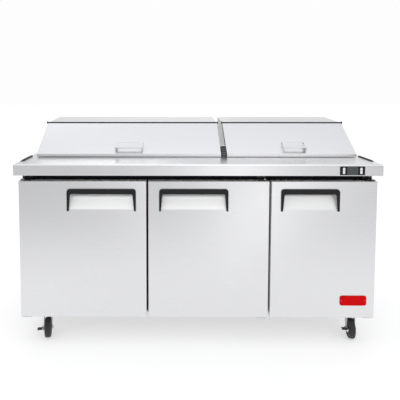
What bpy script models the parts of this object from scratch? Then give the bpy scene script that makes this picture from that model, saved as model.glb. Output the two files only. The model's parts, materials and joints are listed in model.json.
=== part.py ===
"""A three-door refrigerated sandwich preparation table, about 72 inches wide.

Metres, +Z up, +X to the user's right, -Y towards the user. The origin is on the floor,
under the middle of the table. Every sub-part is one object, and every moving sub-part
hangs from an empty that stands on its joint's axis.
"""

import math
from collections import namedtuple

import bmesh
import bpy
from mathutils import Matrix, Vector

# ---------------------------------------------------------------- driving dimensions

WIDTH, DEPTH, HEIGHT = 1.847, 0.762, 1.125
TOUCH = 0.0003  # left between pieces that bear on each other
SHEET = 0.0015  # outer stainless sheet
LINER_SHEET = 0.0012  # inner sheet
CLEAR = 0.01  # how far a cutting tool reaches past a face

FRONT, REAR = -DEPTH / 2, DEPTH / 2
WORKTOP_FRONT = FRONT + 0.003
WORKTOP_TOP, WORKTOP_LIP = 0.939, 0.881
WORKTOP_ROUND = 0.009

CABINET_HALF = 0.902
CABINET_FRONT, CABINET_REAR = -0.302, 0.371
BASE_BOTTOM, CASING_BOTTOM, CASING_TOP = 0.1405, 0.150, 0.8787
WALL = 0.045  # insulated wall

# Machine compartment at the bottom of the back, its opening and its grille, and the cord's gland.
MACHINE_FRONT, MACHINE_TOP = 0.195, 0.475
VENT_HALF, VENT_Z = 0.60, (0.180, 0.450)
GRILLE_HALF, GRILLE_Z, GRILLE_SHEET = 0.612, (0.172, 0.458), 0.0025
GRILLE_COLUMNS, GRILLE_ROWS = 4, 9
LOUVRE_WIDTH, LOUVRE_HEIGHT = 0.270, 0.014
LOUVRE_PITCH = (0.300, 0.0275)
FAN_X, FAN_Y, FAN_Z, FAN_BLADES, FAN_PITCH = -0.32, 0.281, 0.275, 4, 28.0
GLAND_X, GLAND_Z, GLAND_RADIUS, GLAND_BORE, GLAND_LENGTH = 0.760, 0.215, 0.014, 0.0055, 0.011

FRAME_FRONT, FRAME_BACK = -0.303, -0.283
OPENING_BOTTOM, OPENING_TOP = 0.191, 0.805
CEILING = 0.835

DOOR_FRONT, DOOR_BACK = -0.366, -0.320
DOOR_BOTTOM, DOOR_TOP = 0.146, 0.850
HINGE_INSET, HINGE_Y = 0.020, -0.346
PIN_RADIUS, PIN_HOLE = 0.005, 0.0065
BRACKET_OUTSIDE, BRACKET_INSIDE, BRACKET_AHEAD, BRACKET_SHEET = 0.014, 0.034, 0.011, 0.003
DOOR_LINER, DOOR_LINER_INSET = 0.0063, 0.003
GASKET_INSET, GASKET_WIDTH = 0.022, 0.016
OPENING_INSET = 0.045

HANDLE_BOTTOM, HANDLE_TOP = 0.699, 0.811
HANDLE_BAR, HANDLE_LEG_TOP, HANDLE_LEG_FOOT = 0.025, 0.016, 0.009
HANDLE_ROUND, HANDLE_INNER_ROUND, HANDLE_THICK = 0.014, 0.007, 0.009
SCOOP_DEPTH, SCOOP_THROAT = 0.038, 0.022
SCOOP_FOOT, SCOOP_TOP_INSET, SCOOP_END_INSET = 0.003, 0.007, 0.006

BADGE_PLACE, BADGE_HALF, BADGE_ROUND, BADGE_THICK = (0.794, 0.237), (0.068, 0.026), 0.012, 0.0023

Door = namedtuple("Door", "left right hinge_side handle_left handle_right")
DOORS = (
    Door(-0.902, -0.258, -1, -0.658, -0.310),
    Door(-0.248, 0.362, 1, -0.193, 0.155),
    Door(0.372, 0.902, 1, 0.420, 0.713),
)

# Lids, in the YZ plane: the flap's foot, the hinge line and the top of the back.
LIDS = {"left": (-0.872, 0.142), "right": (0.175, 0.884)}
FLAP_FOOT = Vector((-0.149, 0.9555))
FLAP_HINGE = Vector((0.092, 1.110))
HOOD_REAR_TOP = Vector((0.377, HEIGHT))
LID_BOTTOM = WORKTOP_TOP + 0.0025
FLAP_DEPTH = 0.012
HINGE_ROD = 0.004
FLAP_HANDLES = {"left": (-0.443, -0.290), "right": (0.489, 0.616)}
DIVIDER_GAPS = (0.004, 0.0015)  # beside the block, to the left and right lids

# Dark strips on the ends of the work surface.
TRIM_FRONT, TRIM_REAR, TRIM_TAPER = -0.300, -0.120, 0.030
TRIM_INSET, TRIM_WIDTH, TRIM_HEIGHT = 0.010, 0.011, 0.005

# Wire shelves, and the ledges and clips that hold them.
SHELF_FRONT, SHELF_BACK, SHELF_Z = -0.262, 0.300, (0.5220, 0.5280)
SHELF_BARS, SHELF_BAR, SHELF_CROSS = 12, 0.006, (0.012, 0.024)
LEDGE_Z, LEDGE_REACH, LEDGE_Y = (0.508, 0.5215), 0.022, (-0.262, -0.232)
CLIP_REACH, CLIP_BASE, CLIP_BACK = 0.022, 0.012, -0.240

# Food pans: two standard sizes, hung by their rims in two openings of the worktop.
PAN_FRONT, PAN_REAR = -0.090, 0.235
PAN_RIM, PAN_DEPTH = 0.010, 0.100
PANS = {
    "pan_full_left": (-0.812, -0.282),
    "pan_two_thirds_left": (-0.281, 0.073),
    "pan_full_right": (0.262, 0.792),
}
PAN_OPENINGS = ((-0.812, 0.073), (0.262, 0.792))

# Castors.
CASTER_LEFT, CASTER_RIGHT, CASTER_FRONT, CASTER_REAR = -0.790, 0.820, -0.262, 0.318
WHEEL_RADIUS, WHEEL_WIDTH, WHEEL_SIDES = 0.051, 0.032, 24
AXLE_RADIUS, TRAIL = 0.006, 0.030
RACE_TOP, RACE_BOTTOM = 0.1355, 0.122
FORK_HALF, FORK_PLATE = 0.0185, 0.003
Caster = namedtuple("Caster", "name x y turn braked")
CASTERS = (
    Caster("front_left", CASTER_LEFT, CASTER_FRONT, 190.0, True),
    Caster("front_right", CASTER_RIGHT, CASTER_FRONT, 173.0, True),
    Caster("rear_left", CASTER_LEFT, CASTER_REAR, 184.0, False),
    Caster("rear_right", CASTER_RIGHT, CASTER_REAR, 176.0, False),
)

# Controller on the worktop's front lip.
PANEL_X, PANEL_Z = (0.708, 0.832), (0.885, 0.929)
DISPLAY_X, DISPLAY_Z = (0.746, 0.794), (0.890, 0.924)
BUTTON_HALF_WIDTH, BUTTON_Z = 0.006, (0.891, 0.923)
BUTTONS_X = (0.727, 0.813)

# ---------------------------------------------------------------- materials

STEEL = ((0.62, 0.62, 0.63), 0.30, 1.0)
LINER_METAL = ((0.70, 0.71, 0.72), 0.42, 1.0)
DARK_STEEL = ((0.25, 0.25, 0.26), 0.45, 1.0)
BLACK_PLASTIC = ((0.018, 0.018, 0.020), 0.42, 0.0)
RUBBER = ((0.012, 0.012, 0.013), 0.75, 0.0)
WHITE_PLASTIC = ((0.80, 0.80, 0.79), 0.45, 0.0)
FOAM = ((0.78, 0.70, 0.48), 0.90, 0.0)
BADGE_RED = ((0.55, 0.02, 0.03), 0.35, 0.0)
GLASS_BLACK = ((0.01, 0.02, 0.02), 0.12, 0.0)
COPPER_BLACK = ((0.03, 0.03, 0.035), 0.35, 0.3)


def material(look):
    """The material with this colour, roughness and metallic value, made once."""
    name = "_".join(f"{value:.3f}" for value in (*look[0], *look[1:]))
    found = bpy.data.materials.get(name)
    if found:
        return found
    made = bpy.data.materials.new(name)
    made.use_nodes = True
    shader = made.node_tree.nodes["Principled BSDF"]
    shader.inputs["Base Color"].default_value = (*look[0], 1.0)
    shader.inputs["Roughness"].default_value = look[1]
    shader.inputs["Metallic"].default_value = look[2]
    made.diffuse_color = (*look[0], 1.0)
    return made


# ---------------------------------------------------------------- modelling helpers


def clear_scene():
    for thing in list(bpy.data.objects):
        bpy.data.objects.remove(thing, do_unlink=True)


def collection(name):
    made = bpy.data.collections.new(name)
    bpy.context.scene.collection.children.link(made)
    return made


def add(name, mesh, origin=(0.0, 0.0, 0.0)):
    """Links a mesh drawn in world coordinates as an object whose origin is at origin."""
    mesh.transform(Matrix.Translation(-Vector(origin)))
    thing = bpy.data.objects.new(name, mesh)
    thing.location = origin
    PARTS.objects.link(thing)
    return thing


def finish(thing, look, pivot=None):
    """Gives a sub-part its material, and hangs it from its pivot."""
    thing.data.materials.clear()
    thing.data.materials.append(material(look))
    if pivot:
        bpy.context.view_layer.update()
        thing.parent = pivot
        thing.matrix_parent_inverse = pivot.matrix_world.inverted()
    return thing


def empty(name, at, parent=None):
    """A pivot at a point."""
    made = bpy.data.objects.new(name, None)
    made.empty_display_size = 0.03
    made.location = at
    PARTS.objects.link(made)
    bpy.context.view_layer.update()
    if parent:
        made.parent = parent
        made.matrix_parent_inverse = parent.matrix_world.inverted()
        bpy.context.view_layer.update()
    return made


def box_mesh(name, low, high, taper=1.0):
    """A box between two corners. Its bottom face is taper times as large as its top."""
    low, high = Vector(low), Vector(high)
    form = bmesh.new()
    bmesh.ops.create_cube(form, size=1.0)
    bmesh.ops.scale(form, vec=high - low, verts=form.verts)
    for corner in form.verts:
        if corner.co.z < 0:
            corner.co.x *= taper
            corner.co.y *= taper
    bmesh.ops.translate(form, vec=(low + high) / 2, verts=form.verts)
    mesh = bpy.data.meshes.new(name)
    form.to_mesh(mesh)
    form.free()
    return mesh


def box(name, low, high, taper=1.0):
    low, high = Vector(low), Vector(high)
    return add(name, box_mesh(name, low, high, taper), (low + high) / 2)


def cylinder(name, centre, radius, length, axis="Z", sides=24):
    """A closed cylinder about its centre."""
    form = bmesh.new()
    turns = {"X": Matrix.Rotation(math.pi / 2, 4, "Y"), "Y": Matrix.Rotation(math.pi / 2, 4, "X")}
    bmesh.ops.create_cone(
        form, cap_ends=True, segments=sides, radius1=radius, radius2=radius, depth=length
    )
    bmesh.ops.transform(form, matrix=turns.get(axis, Matrix.Identity(4)), verts=form.verts)
    bmesh.ops.translate(form, vec=centre, verts=form.verts)
    mesh = bpy.data.meshes.new(name)
    form.to_mesh(mesh)
    form.free()
    return smooth(add(name, mesh, centre))


# How an outline's own X, Y and Z lie in the world when it is extruded along an axis.
OUTLINE_PLANES = {
    "X": Matrix(((0, 0, 1, 0), (1, 0, 0, 0), (0, 1, 0, 0), (0, 0, 0, 1))),
    "Y": Matrix(((1, 0, 0, 0), (0, 0, -1, 0), (0, 1, 0, 0), (0, 0, 0, 1))),
    "Z": Matrix.Identity(4),
}


def prism(name, outlines, axis, low, high):
    """Flat outlines extruded along an axis between two places on it, made a mesh.

    Points are (y, z) for X, (x, z) for Y and (x, y) for Z. Inner outlines are holes.
    """
    curve = bpy.data.curves.new(name, "CURVE")
    curve.dimensions = "2D"
    curve.fill_mode = "BOTH"
    curve.extrude = (high - low) / 2
    for outline in outlines:
        spline = curve.splines.new("POLY")
        spline.points.add(len(outline) - 1)
        for point, (u, v) in zip(spline.points, outline):
            point.co = (u, v, 0.0, 1.0)
        spline.use_cyclic_u = True
    drawn = bpy.data.objects.new(name, curve)
    middle = {"X": (1, 0, 0), "Y": (0, 1, 0), "Z": (0, 0, 1)}[axis]
    drawn.matrix_world = (
        Matrix.Translation(Vector(middle) * (low + high) / 2) @ OUTLINE_PLANES[axis]
    )
    PARTS.objects.link(drawn)
    bpy.context.view_layer.update()
    mesh = bpy.data.meshes.new_from_object(
        drawn.evaluated_get(bpy.context.evaluated_depsgraph_get())
    )
    mesh.transform(drawn.matrix_world)
    bpy.data.objects.remove(drawn)
    form = bmesh.new()
    form.from_mesh(mesh)
    bmesh.ops.remove_doubles(form, verts=form.verts, dist=1e-5)
    bmesh.ops.recalc_face_normals(form, faces=form.faces)
    form.to_mesh(mesh)
    form.free()
    return add(name, mesh)


def turned(name, profile, centre, axis="Z", sides=WHEEL_SIDES):
    """A profile of (radius, height) points, closed, turned about an axis through centre."""
    form = bmesh.new()
    points = [form.verts.new((radius, 0.0, height)) for radius, height in profile]
    for first, second in zip(points, points[1:] + points[:1]):
        form.edges.new((first, second))
    mesh = bpy.data.meshes.new(name)
    form.to_mesh(mesh)
    form.free()
    thing = bpy.data.objects.new(name, mesh)
    thing.location = centre
    PARTS.objects.link(thing)
    if axis == "X":
        thing.rotation_mode = "ZYX"
        thing.rotation_euler = (0.0, math.pi / 2, math.pi / sides)
    screw = thing.modifiers.new("turn", "SCREW")
    screw.angle = math.tau
    screw.steps = screw.render_steps = sides
    screw.use_merge_vertices = True
    screw.merge_threshold = 1e-5
    screw.use_smooth_shade = False
    return thing


def smooth(thing, angle=35):
    thing.data.shade_smooth()
    thing.data.set_sharp_from_angle(angle=math.radians(angle))
    return thing


def round_edges_at(thing, axis, place, radius, segments):
    """Rounds the edges of a box's face, the one at this place on an axis (0, 1 or 2)."""
    own = place - thing.location[axis]
    form = bmesh.new()
    form.from_mesh(thing.data)
    edges = [e for e in form.edges if all(abs(v.co[axis] - own) < 1e-6 for v in e.verts)]
    bmesh.ops.bevel(
        form, geom=edges, offset=radius, segments=segments, profile=0.5, affect="EDGES"
    )
    form.to_mesh(thing.data)
    form.free()


def combine(thing, tool, operation):
    """Cuts or joins a piece with a tool, which rides on it from the cutters' collection."""
    change = thing.modifiers.new(operation.lower(), "BOOLEAN")
    change.operation = operation
    change.object = tool
    change.solver = "EXACT"
    tool.parent = thing
    tool.matrix_parent_inverse = thing.matrix_basis.inverted()
    tool.hide_render = True
    tool.display_type = "WIRE"
    for home in list(tool.users_collection):
        home.objects.unlink(tool)
    CUTTERS.objects.link(tool)
    return thing


def cut(thing, *tools):
    for tool in tools:
        combine(thing, tool, "DIFFERENCE")
    return thing


def join(thing, *tools):
    for tool in tools:
        combine(thing, tool, "UNION")
    return thing


def cut_box(thing, low, high, taper=1.0):
    return cut(thing, box(f"{thing.name}_void", low, high, taper))


def join_box(thing, low, high):
    return join(thing, box(f"{thing.name}_lug", low, high))


def arc(centre, radius, start, end, steps=5):
    """Points on an arc, with its angles in degrees."""
    return [
        (
            centre[0] + radius * math.cos(math.radians(start + (end - start) * i / steps)),
            centre[1] + radius * math.sin(math.radians(start + (end - start) * i / steps)),
        )
        for i in range(steps + 1)
    ]


def frame_outline(x, z):
    return [(x[0], z[0]), (x[1], z[0]), (x[1], z[1]), (x[0], z[1])]


# ---------------------------------------------------------------- cabinet


def door_opening(door):
    return door.left + OPENING_INSET, door.right - OPENING_INSET


def make_outer_casing():
    """Two sides and a back in one bent sheet, open where the machine compartment breathes.

    The power cord's gland is pressed into the back, beside that opening.
    """
    casing = box(
        "outer_casing",
        (-CABINET_HALF, CABINET_FRONT, CASING_BOTTOM),
        (CABINET_HALF, CABINET_REAR, CASING_TOP),
    )
    cut_box(
        casing,
        (-CABINET_HALF + SHEET, CABINET_FRONT - CLEAR, CASING_BOTTOM - CLEAR),
        (CABINET_HALF - SHEET, CABINET_REAR - SHEET, CASING_TOP + CLEAR),
    )
    cut_box(
        casing,
        (-VENT_HALF, CABINET_REAR - CLEAR, VENT_Z[0]),
        (VENT_HALF, CABINET_REAR + CLEAR, VENT_Z[1]),
    )
    middle = (GLAND_X, CABINET_REAR + GLAND_LENGTH / 2 - SHEET, GLAND_Z)
    join(casing, cylinder("cord_gland", middle, GLAND_RADIUS, GLAND_LENGTH, "Y", sides=16))
    cut(casing, cylinder("cord_gland_bore", middle, GLAND_BORE, GLAND_LENGTH + CLEAR, "Y", sides=12))
    finish(casing, STEEL)


def cabinet_section(grow, reach_front, reach_top):
    """The food space seen from the side, (y, z), grown outwards by grow."""
    bottom, back = OPENING_BOTTOM + 0.004 - grow, CABINET_REAR - WALL + grow
    step_y, step_z = MACHINE_FRONT - WALL + grow, MACHINE_TOP + WALL - grow
    well_front = PAN_FRONT - 0.015 - grow
    ceiling = CEILING - 0.020 + grow
    return [
        (reach_front, bottom),
        (step_y, bottom),
        (step_y, step_z),
        (back, step_z),
        (back, reach_top),
        (well_front, reach_top),
        (well_front, ceiling),
        (reach_front, ceiling),
    ]


LINER_HALF = CABINET_HALF - WALL
LINER_FRONT, LINER_TOP = FRAME_BACK + TOUCH, WORKTOP_TOP - SHEET - TOUCH


def make_liner_and_insulation():
    outer = cabinet_section(LINER_SHEET, LINER_FRONT, LINER_TOP)
    inner = cabinet_section(0.0, LINER_FRONT - 0.02, LINER_TOP + 0.02)
    room = LINER_HALF - LINER_SHEET
    liner = prism("inner_liner", [outer], "X", -LINER_HALF, LINER_HALF)
    cut(liner, prism("inner_liner_void", [inner], "X", -room, room))
    for side in (-1, 1):
        ledge = sorted((side * (room - LEDGE_REACH), side * (room + LINER_SHEET / 2)))
        join_box(liner, (ledge[0], LEDGE_Y[0], LEDGE_Z[0]), (ledge[1], LEDGE_Y[1], LEDGE_Z[1]))
    finish(liner, LINER_METAL)

    half = CABINET_HALF - SHEET - TOUCH
    back = CABINET_REAR - SHEET - TOUCH
    foam_outline = [
        (LINER_FRONT, CASING_BOTTOM),
        (MACHINE_FRONT, CASING_BOTTOM),
        (MACHINE_FRONT, MACHINE_TOP),
        (back, MACHINE_TOP),
        (back, LINER_TOP),
        (LINER_FRONT, LINER_TOP),
    ]
    foam = prism("insulation", [foam_outline], "X", -half, half)
    pocket = cabinet_section(LINER_SHEET + TOUCH, LINER_FRONT - 0.02, LINER_TOP + 0.02)
    pocket_half = LINER_HALF + TOUCH
    cut(foam, prism("insulation_void", [pocket], "X", -pocket_half, pocket_half))
    finish(foam, FOAM)


def make_front_frame():
    """The black frame around the three openings, with clips for the shelves behind it."""
    half = CABINET_HALF - SHEET - 0.0015
    frame = box(
        "front_frame",
        (-half, FRAME_FRONT, CASING_BOTTOM + 0.0005),
        (half, FRAME_BACK, CASING_TOP),
    )
    for door in DOORS:
        left, right = door_opening(door)
        cut_box(
            frame,
            (left, FRAME_FRONT - CLEAR, OPENING_BOTTOM),
            (right, FRAME_BACK + CLEAR, OPENING_TOP),
        )
    for before, after in zip(DOORS, DOORS[1:]):
        left, right = door_opening(before)[1], door_opening(after)[0]
        for low, high in (
            (left - CLIP_REACH, left + CLIP_BASE),
            (right - CLIP_BASE, right + CLIP_REACH),
        ):
            join_box(frame, (low, FRAME_BACK - 0.005, LEDGE_Z[0]), (high, CLIP_BACK, LEDGE_Z[1]))
    finish(frame, BLACK_PLASTIC)


def make_base_pan():
    """The floor of the cabinet, a shallow tray with a pad over each castor."""
    base = box(
        "base_pan",
        (-CABINET_HALF, CABINET_FRONT, BASE_BOTTOM),
        (CABINET_HALF, CABINET_REAR, CASING_BOTTOM - TOUCH),
    )
    cut_box(
        base,
        (-CABINET_HALF + SHEET, CABINET_FRONT + SHEET, BASE_BOTTOM + SHEET),
        (CABINET_HALF - SHEET, CABINET_REAR - SHEET, CASING_BOTTOM + CLEAR),
    )
    for caster in CASTERS:
        join_box(
            base,
            (caster.x - 0.050, caster.y - 0.034, BASE_BOTTOM - 0.0045),
            (caster.x + 0.050, caster.y + 0.034, BASE_BOTTOM + 0.001),
        )
    finish(base, DARK_STEEL)


def make_worktop():
    """A folded sheet with a rounded front edge, cut for the pans and the controller."""
    half = WIDTH / 2
    top = box("worktop", (-half, WORKTOP_FRONT, WORKTOP_LIP), (half, REAR, WORKTOP_TOP))
    round_edges_at(top, 2, WORKTOP_TOP, WORKTOP_ROUND, 4)
    hollow = box(
        "worktop_void",
        (-half + SHEET, WORKTOP_FRONT + SHEET, WORKTOP_LIP - CLEAR),
        (half - SHEET, REAR - SHEET, WORKTOP_TOP - SHEET),
    )
    round_edges_at(hollow, 2, WORKTOP_TOP - SHEET, WORKTOP_ROUND - SHEET, 4)
    cut(top, hollow)
    for left, right in PAN_OPENINGS:
        cut_box(
            top,
            (left + PAN_RIM, PAN_FRONT + PAN_RIM, WORKTOP_TOP - CLEAR),
            (right - PAN_RIM, PAN_REAR - PAN_RIM, WORKTOP_TOP + CLEAR),
        )
    cut_box(
        top,
        (PANEL_X[0] + 0.006, WORKTOP_FRONT - CLEAR, PANEL_Z[0] + 0.003),
        (PANEL_X[1] - 0.006, WORKTOP_FRONT + CLEAR, PANEL_Z[1] - 0.003),
    )
    finish(top, STEEL)


def make_end_trims():
    """A dark strip along each end of the work surface."""
    for name, side in (("left", -1), ("right", 1)):
        outer = WIDTH / 2 - TRIM_INSET
        edge = sorted((side * outer, side * (outer - TRIM_WIDTH)))
        foot, top = WORKTOP_TOP + TOUCH, WORKTOP_TOP + TRIM_HEIGHT
        outline = [
            (TRIM_FRONT, foot),
            (TRIM_REAR, foot),
            (TRIM_REAR, top),
            (TRIM_FRONT + TRIM_TAPER, top),
        ]
        strip = prism(f"end_trim_{name}", [outline], "X", *edge)
        finish(strip, BLACK_PLASTIC)


def make_lid_divider():
    """A dark block on the worktop, between the feet of the two lids."""
    foot = WORKTOP_TOP + TOUCH
    outline = [(-0.146, foot), (-0.070, foot), (-0.070, 0.990), (-0.104, 0.982), (-0.146, 0.952)]
    block = prism(
        "lid_divider",
        [outline],
        "X",
        LIDS["left"][1] + DIVIDER_GAPS[0],
        LIDS["right"][0] - DIVIDER_GAPS[1],
    )
    finish(block, BLACK_PLASTIC)


# ---------------------------------------------------------------- doors


def handle_outline(left, right):
    """An upside-down U with rounded shoulders and legs that narrow downwards, (x, z)."""
    r, inner = HANDLE_ROUND, HANDLE_INNER_ROUND
    bar = HANDLE_TOP - HANDLE_BAR
    return (
        [(left, HANDLE_BOTTOM)]
        + list(reversed(arc((left + r, HANDLE_TOP - r), r, 90, 180)))
        + list(reversed(arc((right - r, HANDLE_TOP - r), r, 0, 90)))
        + [(right, HANDLE_BOTTOM), (right - HANDLE_LEG_FOOT, HANDLE_BOTTOM)]
        + arc((right - HANDLE_LEG_TOP - inner, bar - inner), inner, 0, 90, 3)
        + arc((left + HANDLE_LEG_TOP + inner, bar - inner), inner, 90, 180, 3)
        + [(left + HANDLE_LEG_FOOT, HANDLE_BOTTOM)]
    )


def scoop_outline(grow):
    """The finger recess seen from the side, (y, z): a slope that ends behind the bar."""
    foot = Vector((DOOR_FRONT, HANDLE_BOTTOM + SCOOP_FOOT))
    top = HANDLE_TOP - SCOOP_TOP_INSET
    back = Vector((DOOR_FRONT + SCOOP_DEPTH, top - SCOOP_THROAT))
    along = (back - foot).normalized()
    front = DOOR_FRONT - 0.005 if grow == 0 else DOOR_FRONT + LINER_SHEET / 2

    def slope_height(y):
        return foot.y + (y - foot.x) * along.y / along.x - grow / along.x

    return [
        (front, slope_height(front)),
        (back.x + grow, slope_height(back.x + grow)),
        (back.x + grow, top + grow),
        (front, top + grow),
    ]


def make_door(number, door):
    name = f"door_{number}"
    axis_x = (door.left if door.hinge_side < 0 else door.right) - door.hinge_side * HINGE_INSET
    pivot = empty(f"{name}_hinge_axis", (axis_x, HINGE_Y, (DOOR_BOTTOM + DOOR_TOP) / 2))
    panel = box(
        f"{name}_panel",
        (door.left, DOOR_FRONT, DOOR_BOTTOM),
        (door.right, DOOR_BACK, DOOR_TOP),
    )
    round_edges_at(panel, 1, DOOR_FRONT, 0.003, 2)
    cut_box(
        panel,
        (door.left + SHEET, DOOR_FRONT + LINER_SHEET, DOOR_BOTTOM + SHEET),
        (door.right - SHEET, DOOR_BACK + CLEAR, DOOR_TOP - SHEET),
    )
    left, right = door.handle_left + SCOOP_END_INSET, door.handle_right - SCOOP_END_INSET
    pocket = prism(
        f"{name}_pocket", [scoop_outline(LINER_SHEET)], "X", left - LINER_SHEET, right + LINER_SHEET
    )
    join(panel, pocket)
    cut(panel, prism(f"{name}_scoop", [scoop_outline(0.0)], "X", left, right))
    middle = (DOOR_BOTTOM + DOOR_TOP) / 2
    cut(panel, cylinder(f"{name}_pin_hole", (axis_x, HINGE_Y, middle), PIN_HOLE, 1.0, sides=12))
    finish(panel, STEEL, pivot)

    liner_back = DOOR_BACK + DOOR_LINER
    liner = box(
        f"{name}_liner",
        (door.left + DOOR_LINER_INSET, DOOR_BACK + TOUCH, DOOR_BOTTOM + DOOR_LINER_INSET),
        (door.right - DOOR_LINER_INSET, liner_back, DOOR_TOP - DOOR_LINER_INSET),
    )
    finish(liner, LINER_METAL, pivot)

    rings = [
        frame_outline((door.left + inset, door.right - inset), (DOOR_BOTTOM + inset, DOOR_TOP - inset))
        for inset in (GASKET_INSET, GASKET_INSET + GASKET_WIDTH)
    ]
    gasket = prism(f"{name}_gasket", rings, "Y", liner_back + TOUCH, FRAME_FRONT - 0.0004)
    finish(gasket, RUBBER, pivot)

    handle = prism(
        f"{name}_handle",
        [handle_outline(door.handle_left, door.handle_right)],
        "Y",
        DOOR_FRONT - TOUCH - HANDLE_THICK,
        DOOR_FRONT - TOUCH,
    )
    finish(handle, BLACK_PLASTIC, pivot)
    return pivot


def make_hinges(number, door):
    """The fixed brackets of one door, each a folded plate with a pin."""
    axis_x = (door.left if door.hinge_side < 0 else door.right) - door.hinge_side * HINGE_INSET
    outer_x = axis_x + door.hinge_side * BRACKET_OUTSIDE
    low_x, high_x = sorted((outer_x, axis_x - door.hinge_side * BRACKET_INSIDE))
    flange, front = FRAME_FRONT - TOUCH, HINGE_Y - BRACKET_AHEAD
    top = box(
        f"hinge_top_{number}", (low_x, front, 0.8528), (high_x, flange, 0.8528 + BRACKET_SHEET)
    )
    join_box(top, (low_x, flange - 0.0025, 0.8540), (high_x, flange, 0.8770))
    join(top, cylinder(f"{top.name}_pin", (axis_x, HINGE_Y, 0.8440), PIN_RADIUS, 0.020, sides=12))
    finish(top, DARK_STEEL)

    bottom = box(
        f"hinge_bottom_{number}", (low_x, front, 0.1400), (high_x, flange, 0.1400 + BRACKET_SHEET)
    )
    join_box(bottom, (low_x, flange - 0.0020, 0.1410), (high_x, flange, 0.1640))
    join(
        bottom,
        cylinder(f"{bottom.name}_pin", (axis_x, HINGE_Y, 0.1500), PIN_RADIUS, 0.018, sides=12),
    )
    finish(bottom, DARK_STEEL)


def make_nameplate(pivot):
    """A plain red plate with no lettering, low on the right door."""
    (x, z), (half_width, half_height), r = BADGE_PLACE, BADGE_HALF, BADGE_ROUND
    corners = ((1, 1, 0), (-1, 1, 90), (-1, -1, 180), (1, -1, 270))
    outline = [
        point
        for side, way, start in corners
        for point in arc(
            (x + side * (half_width - r), z + way * (half_height - r)), r, start, start + 90, 4
        )
    ]
    plate = prism("nameplate", [outline], "Y", DOOR_FRONT - BADGE_THICK, DOOR_FRONT - TOUCH)
    finish(plate, BADGE_RED, pivot)


# ---------------------------------------------------------------- lids

FLAP_RISE = (FLAP_HINGE - FLAP_FOOT).normalized()  # up the slope
FLAP_IN = Vector((FLAP_RISE.y, -FLAP_RISE.x))  # into the lid


def slope_at(y, inset):
    """The height of a line inset below the flap's outer face, at y."""
    steep = FLAP_RISE.y / FLAP_RISE.x
    return FLAP_FOOT.y + (y - FLAP_FOOT.x) * steep - inset / FLAP_RISE.x


def flap_outline(skin, opened):
    """The flap seen from the side, (y, z); opened reaches through its inner face."""
    upper = FLAP_HINGE - FLAP_RISE * (0.005 + skin)
    front, foot = FLAP_FOOT.x + skin, LID_BOTTOM
    depth = FLAP_DEPTH + opened
    back = FLAP_FOOT.x + FLAP_DEPTH + opened
    if opened:
        foot -= opened
    outer, inner = upper + FLAP_IN * skin, upper + FLAP_IN * depth
    return [
        tuple(outer),
        (front, slope_at(front, skin)),
        (front, foot),
        (back, foot),
        (back, slope_at(back, depth)),
        tuple(inner),
    ]


def make_lid(side):
    left, right = LIDS[side]
    pivot = empty(f"hood_{side}_hinge_axis", ((left + right) / 2, HOOD_REAR_TOP.x, LID_BOTTOM))
    back = HOOD_REAR_TOP.x
    rise = (HOOD_REAR_TOP - FLAP_HINGE).normalized()
    lip = FLAP_HINGE + rise * 0.005
    start = FLAP_FOOT.x + FLAP_DEPTH + 0.001
    under = FLAP_DEPTH + 0.001
    crest = FLAP_HINGE.x + 0.004
    outline = [
        (start, LID_BOTTOM),
        (back, LID_BOTTOM),
        tuple(HOOD_REAR_TOP),
        tuple(lip),
        (lip.x, lip.y - 0.011),
        (crest, slope_at(crest, under)),
        (start, slope_at(start, under)),
    ]
    hood = prism(f"hood_{side}", [outline], "X", left, right)
    inside = [
        (start - 0.05, LID_BOTTOM - 0.02),
        (back - SHEET, LID_BOTTOM - 0.02),
        (back - SHEET, HOOD_REAR_TOP.y - SHEET),
        (lip.x + SHEET, lip.y - SHEET),
        (lip.x + SHEET, lip.y - 0.020),
        (crest - 0.02, slope_at(crest - 0.02, -0.02)),
        (start - 0.05, slope_at(start - 0.05, -0.02)),
    ]
    cut(hood, prism(f"hood_{side}_void", [inside], "X", left + SHEET, right - SHEET))
    finish(hood, STEEL, pivot)

    rod = cylinder(
        f"hinge_strip_{side}",
        ((left + right) / 2, FLAP_HINGE.x, FLAP_HINGE.y),
        HINGE_ROD,
        right - left - 0.002,
        "X",
        sides=12,
    )
    finish(rod, BLACK_PLASTIC, pivot)

    swing = empty(
        f"flap_{side}_hinge_axis", ((left + right) / 2, FLAP_HINGE.x, FLAP_HINGE.y), pivot
    )
    flap = prism(f"flap_{side}", [flap_outline(0.0, 0.0)], "X", left, right)
    hollow = flap_outline(SHEET, 0.02)
    cut(flap, prism(f"flap_{side}_void", [hollow], "X", left + SHEET, right - SHEET))
    finish(flap, STEEL, swing)
    make_flap_handle(side, swing)


def make_flap_handle(side, swing):
    """A bent strap standing on the flap: two feet, two risers and a bar between them."""
    left, right = FLAP_HANDLES[side]
    up, out = FLAP_RISE, -FLAP_IN
    low, high = 0.030, 0.088  # along the slope, from the flap's foot
    stand, thick, foot = 0.022, 0.0025, 0.010
    base = FLAP_FOOT + up * low + out * TOUCH
    strap = box_mesh(f"flap_handle_{side}", (left, 0.0, 0.0), (right, high - low, stand))
    to_slope = Matrix(
        ((1, 0, 0, 0), (0, up.x, out.x, base.x), (0, up.y, out.y, base.y), (0, 0, 0, 1))
    )
    strap.transform(to_slope)
    handle = add(f"flap_handle_{side}", strap, (0.0, base.x, base.y))
    room = box_mesh(
        f"{handle.name}_gap", (left + thick, -0.01, -0.01), (right - thick, 0.1, stand - thick)
    )
    window = box_mesh(
        f"{handle.name}_window",
        (left + foot, 0.012, stand - 0.01),
        (right - foot, high - low - 0.012, stand + 0.01),
    )
    for tool in (room, window):
        tool.transform(to_slope)
        cut(handle, add(tool.name, tool))
    finish(handle, STEEL, swing)


# ---------------------------------------------------------------- inside


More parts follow.
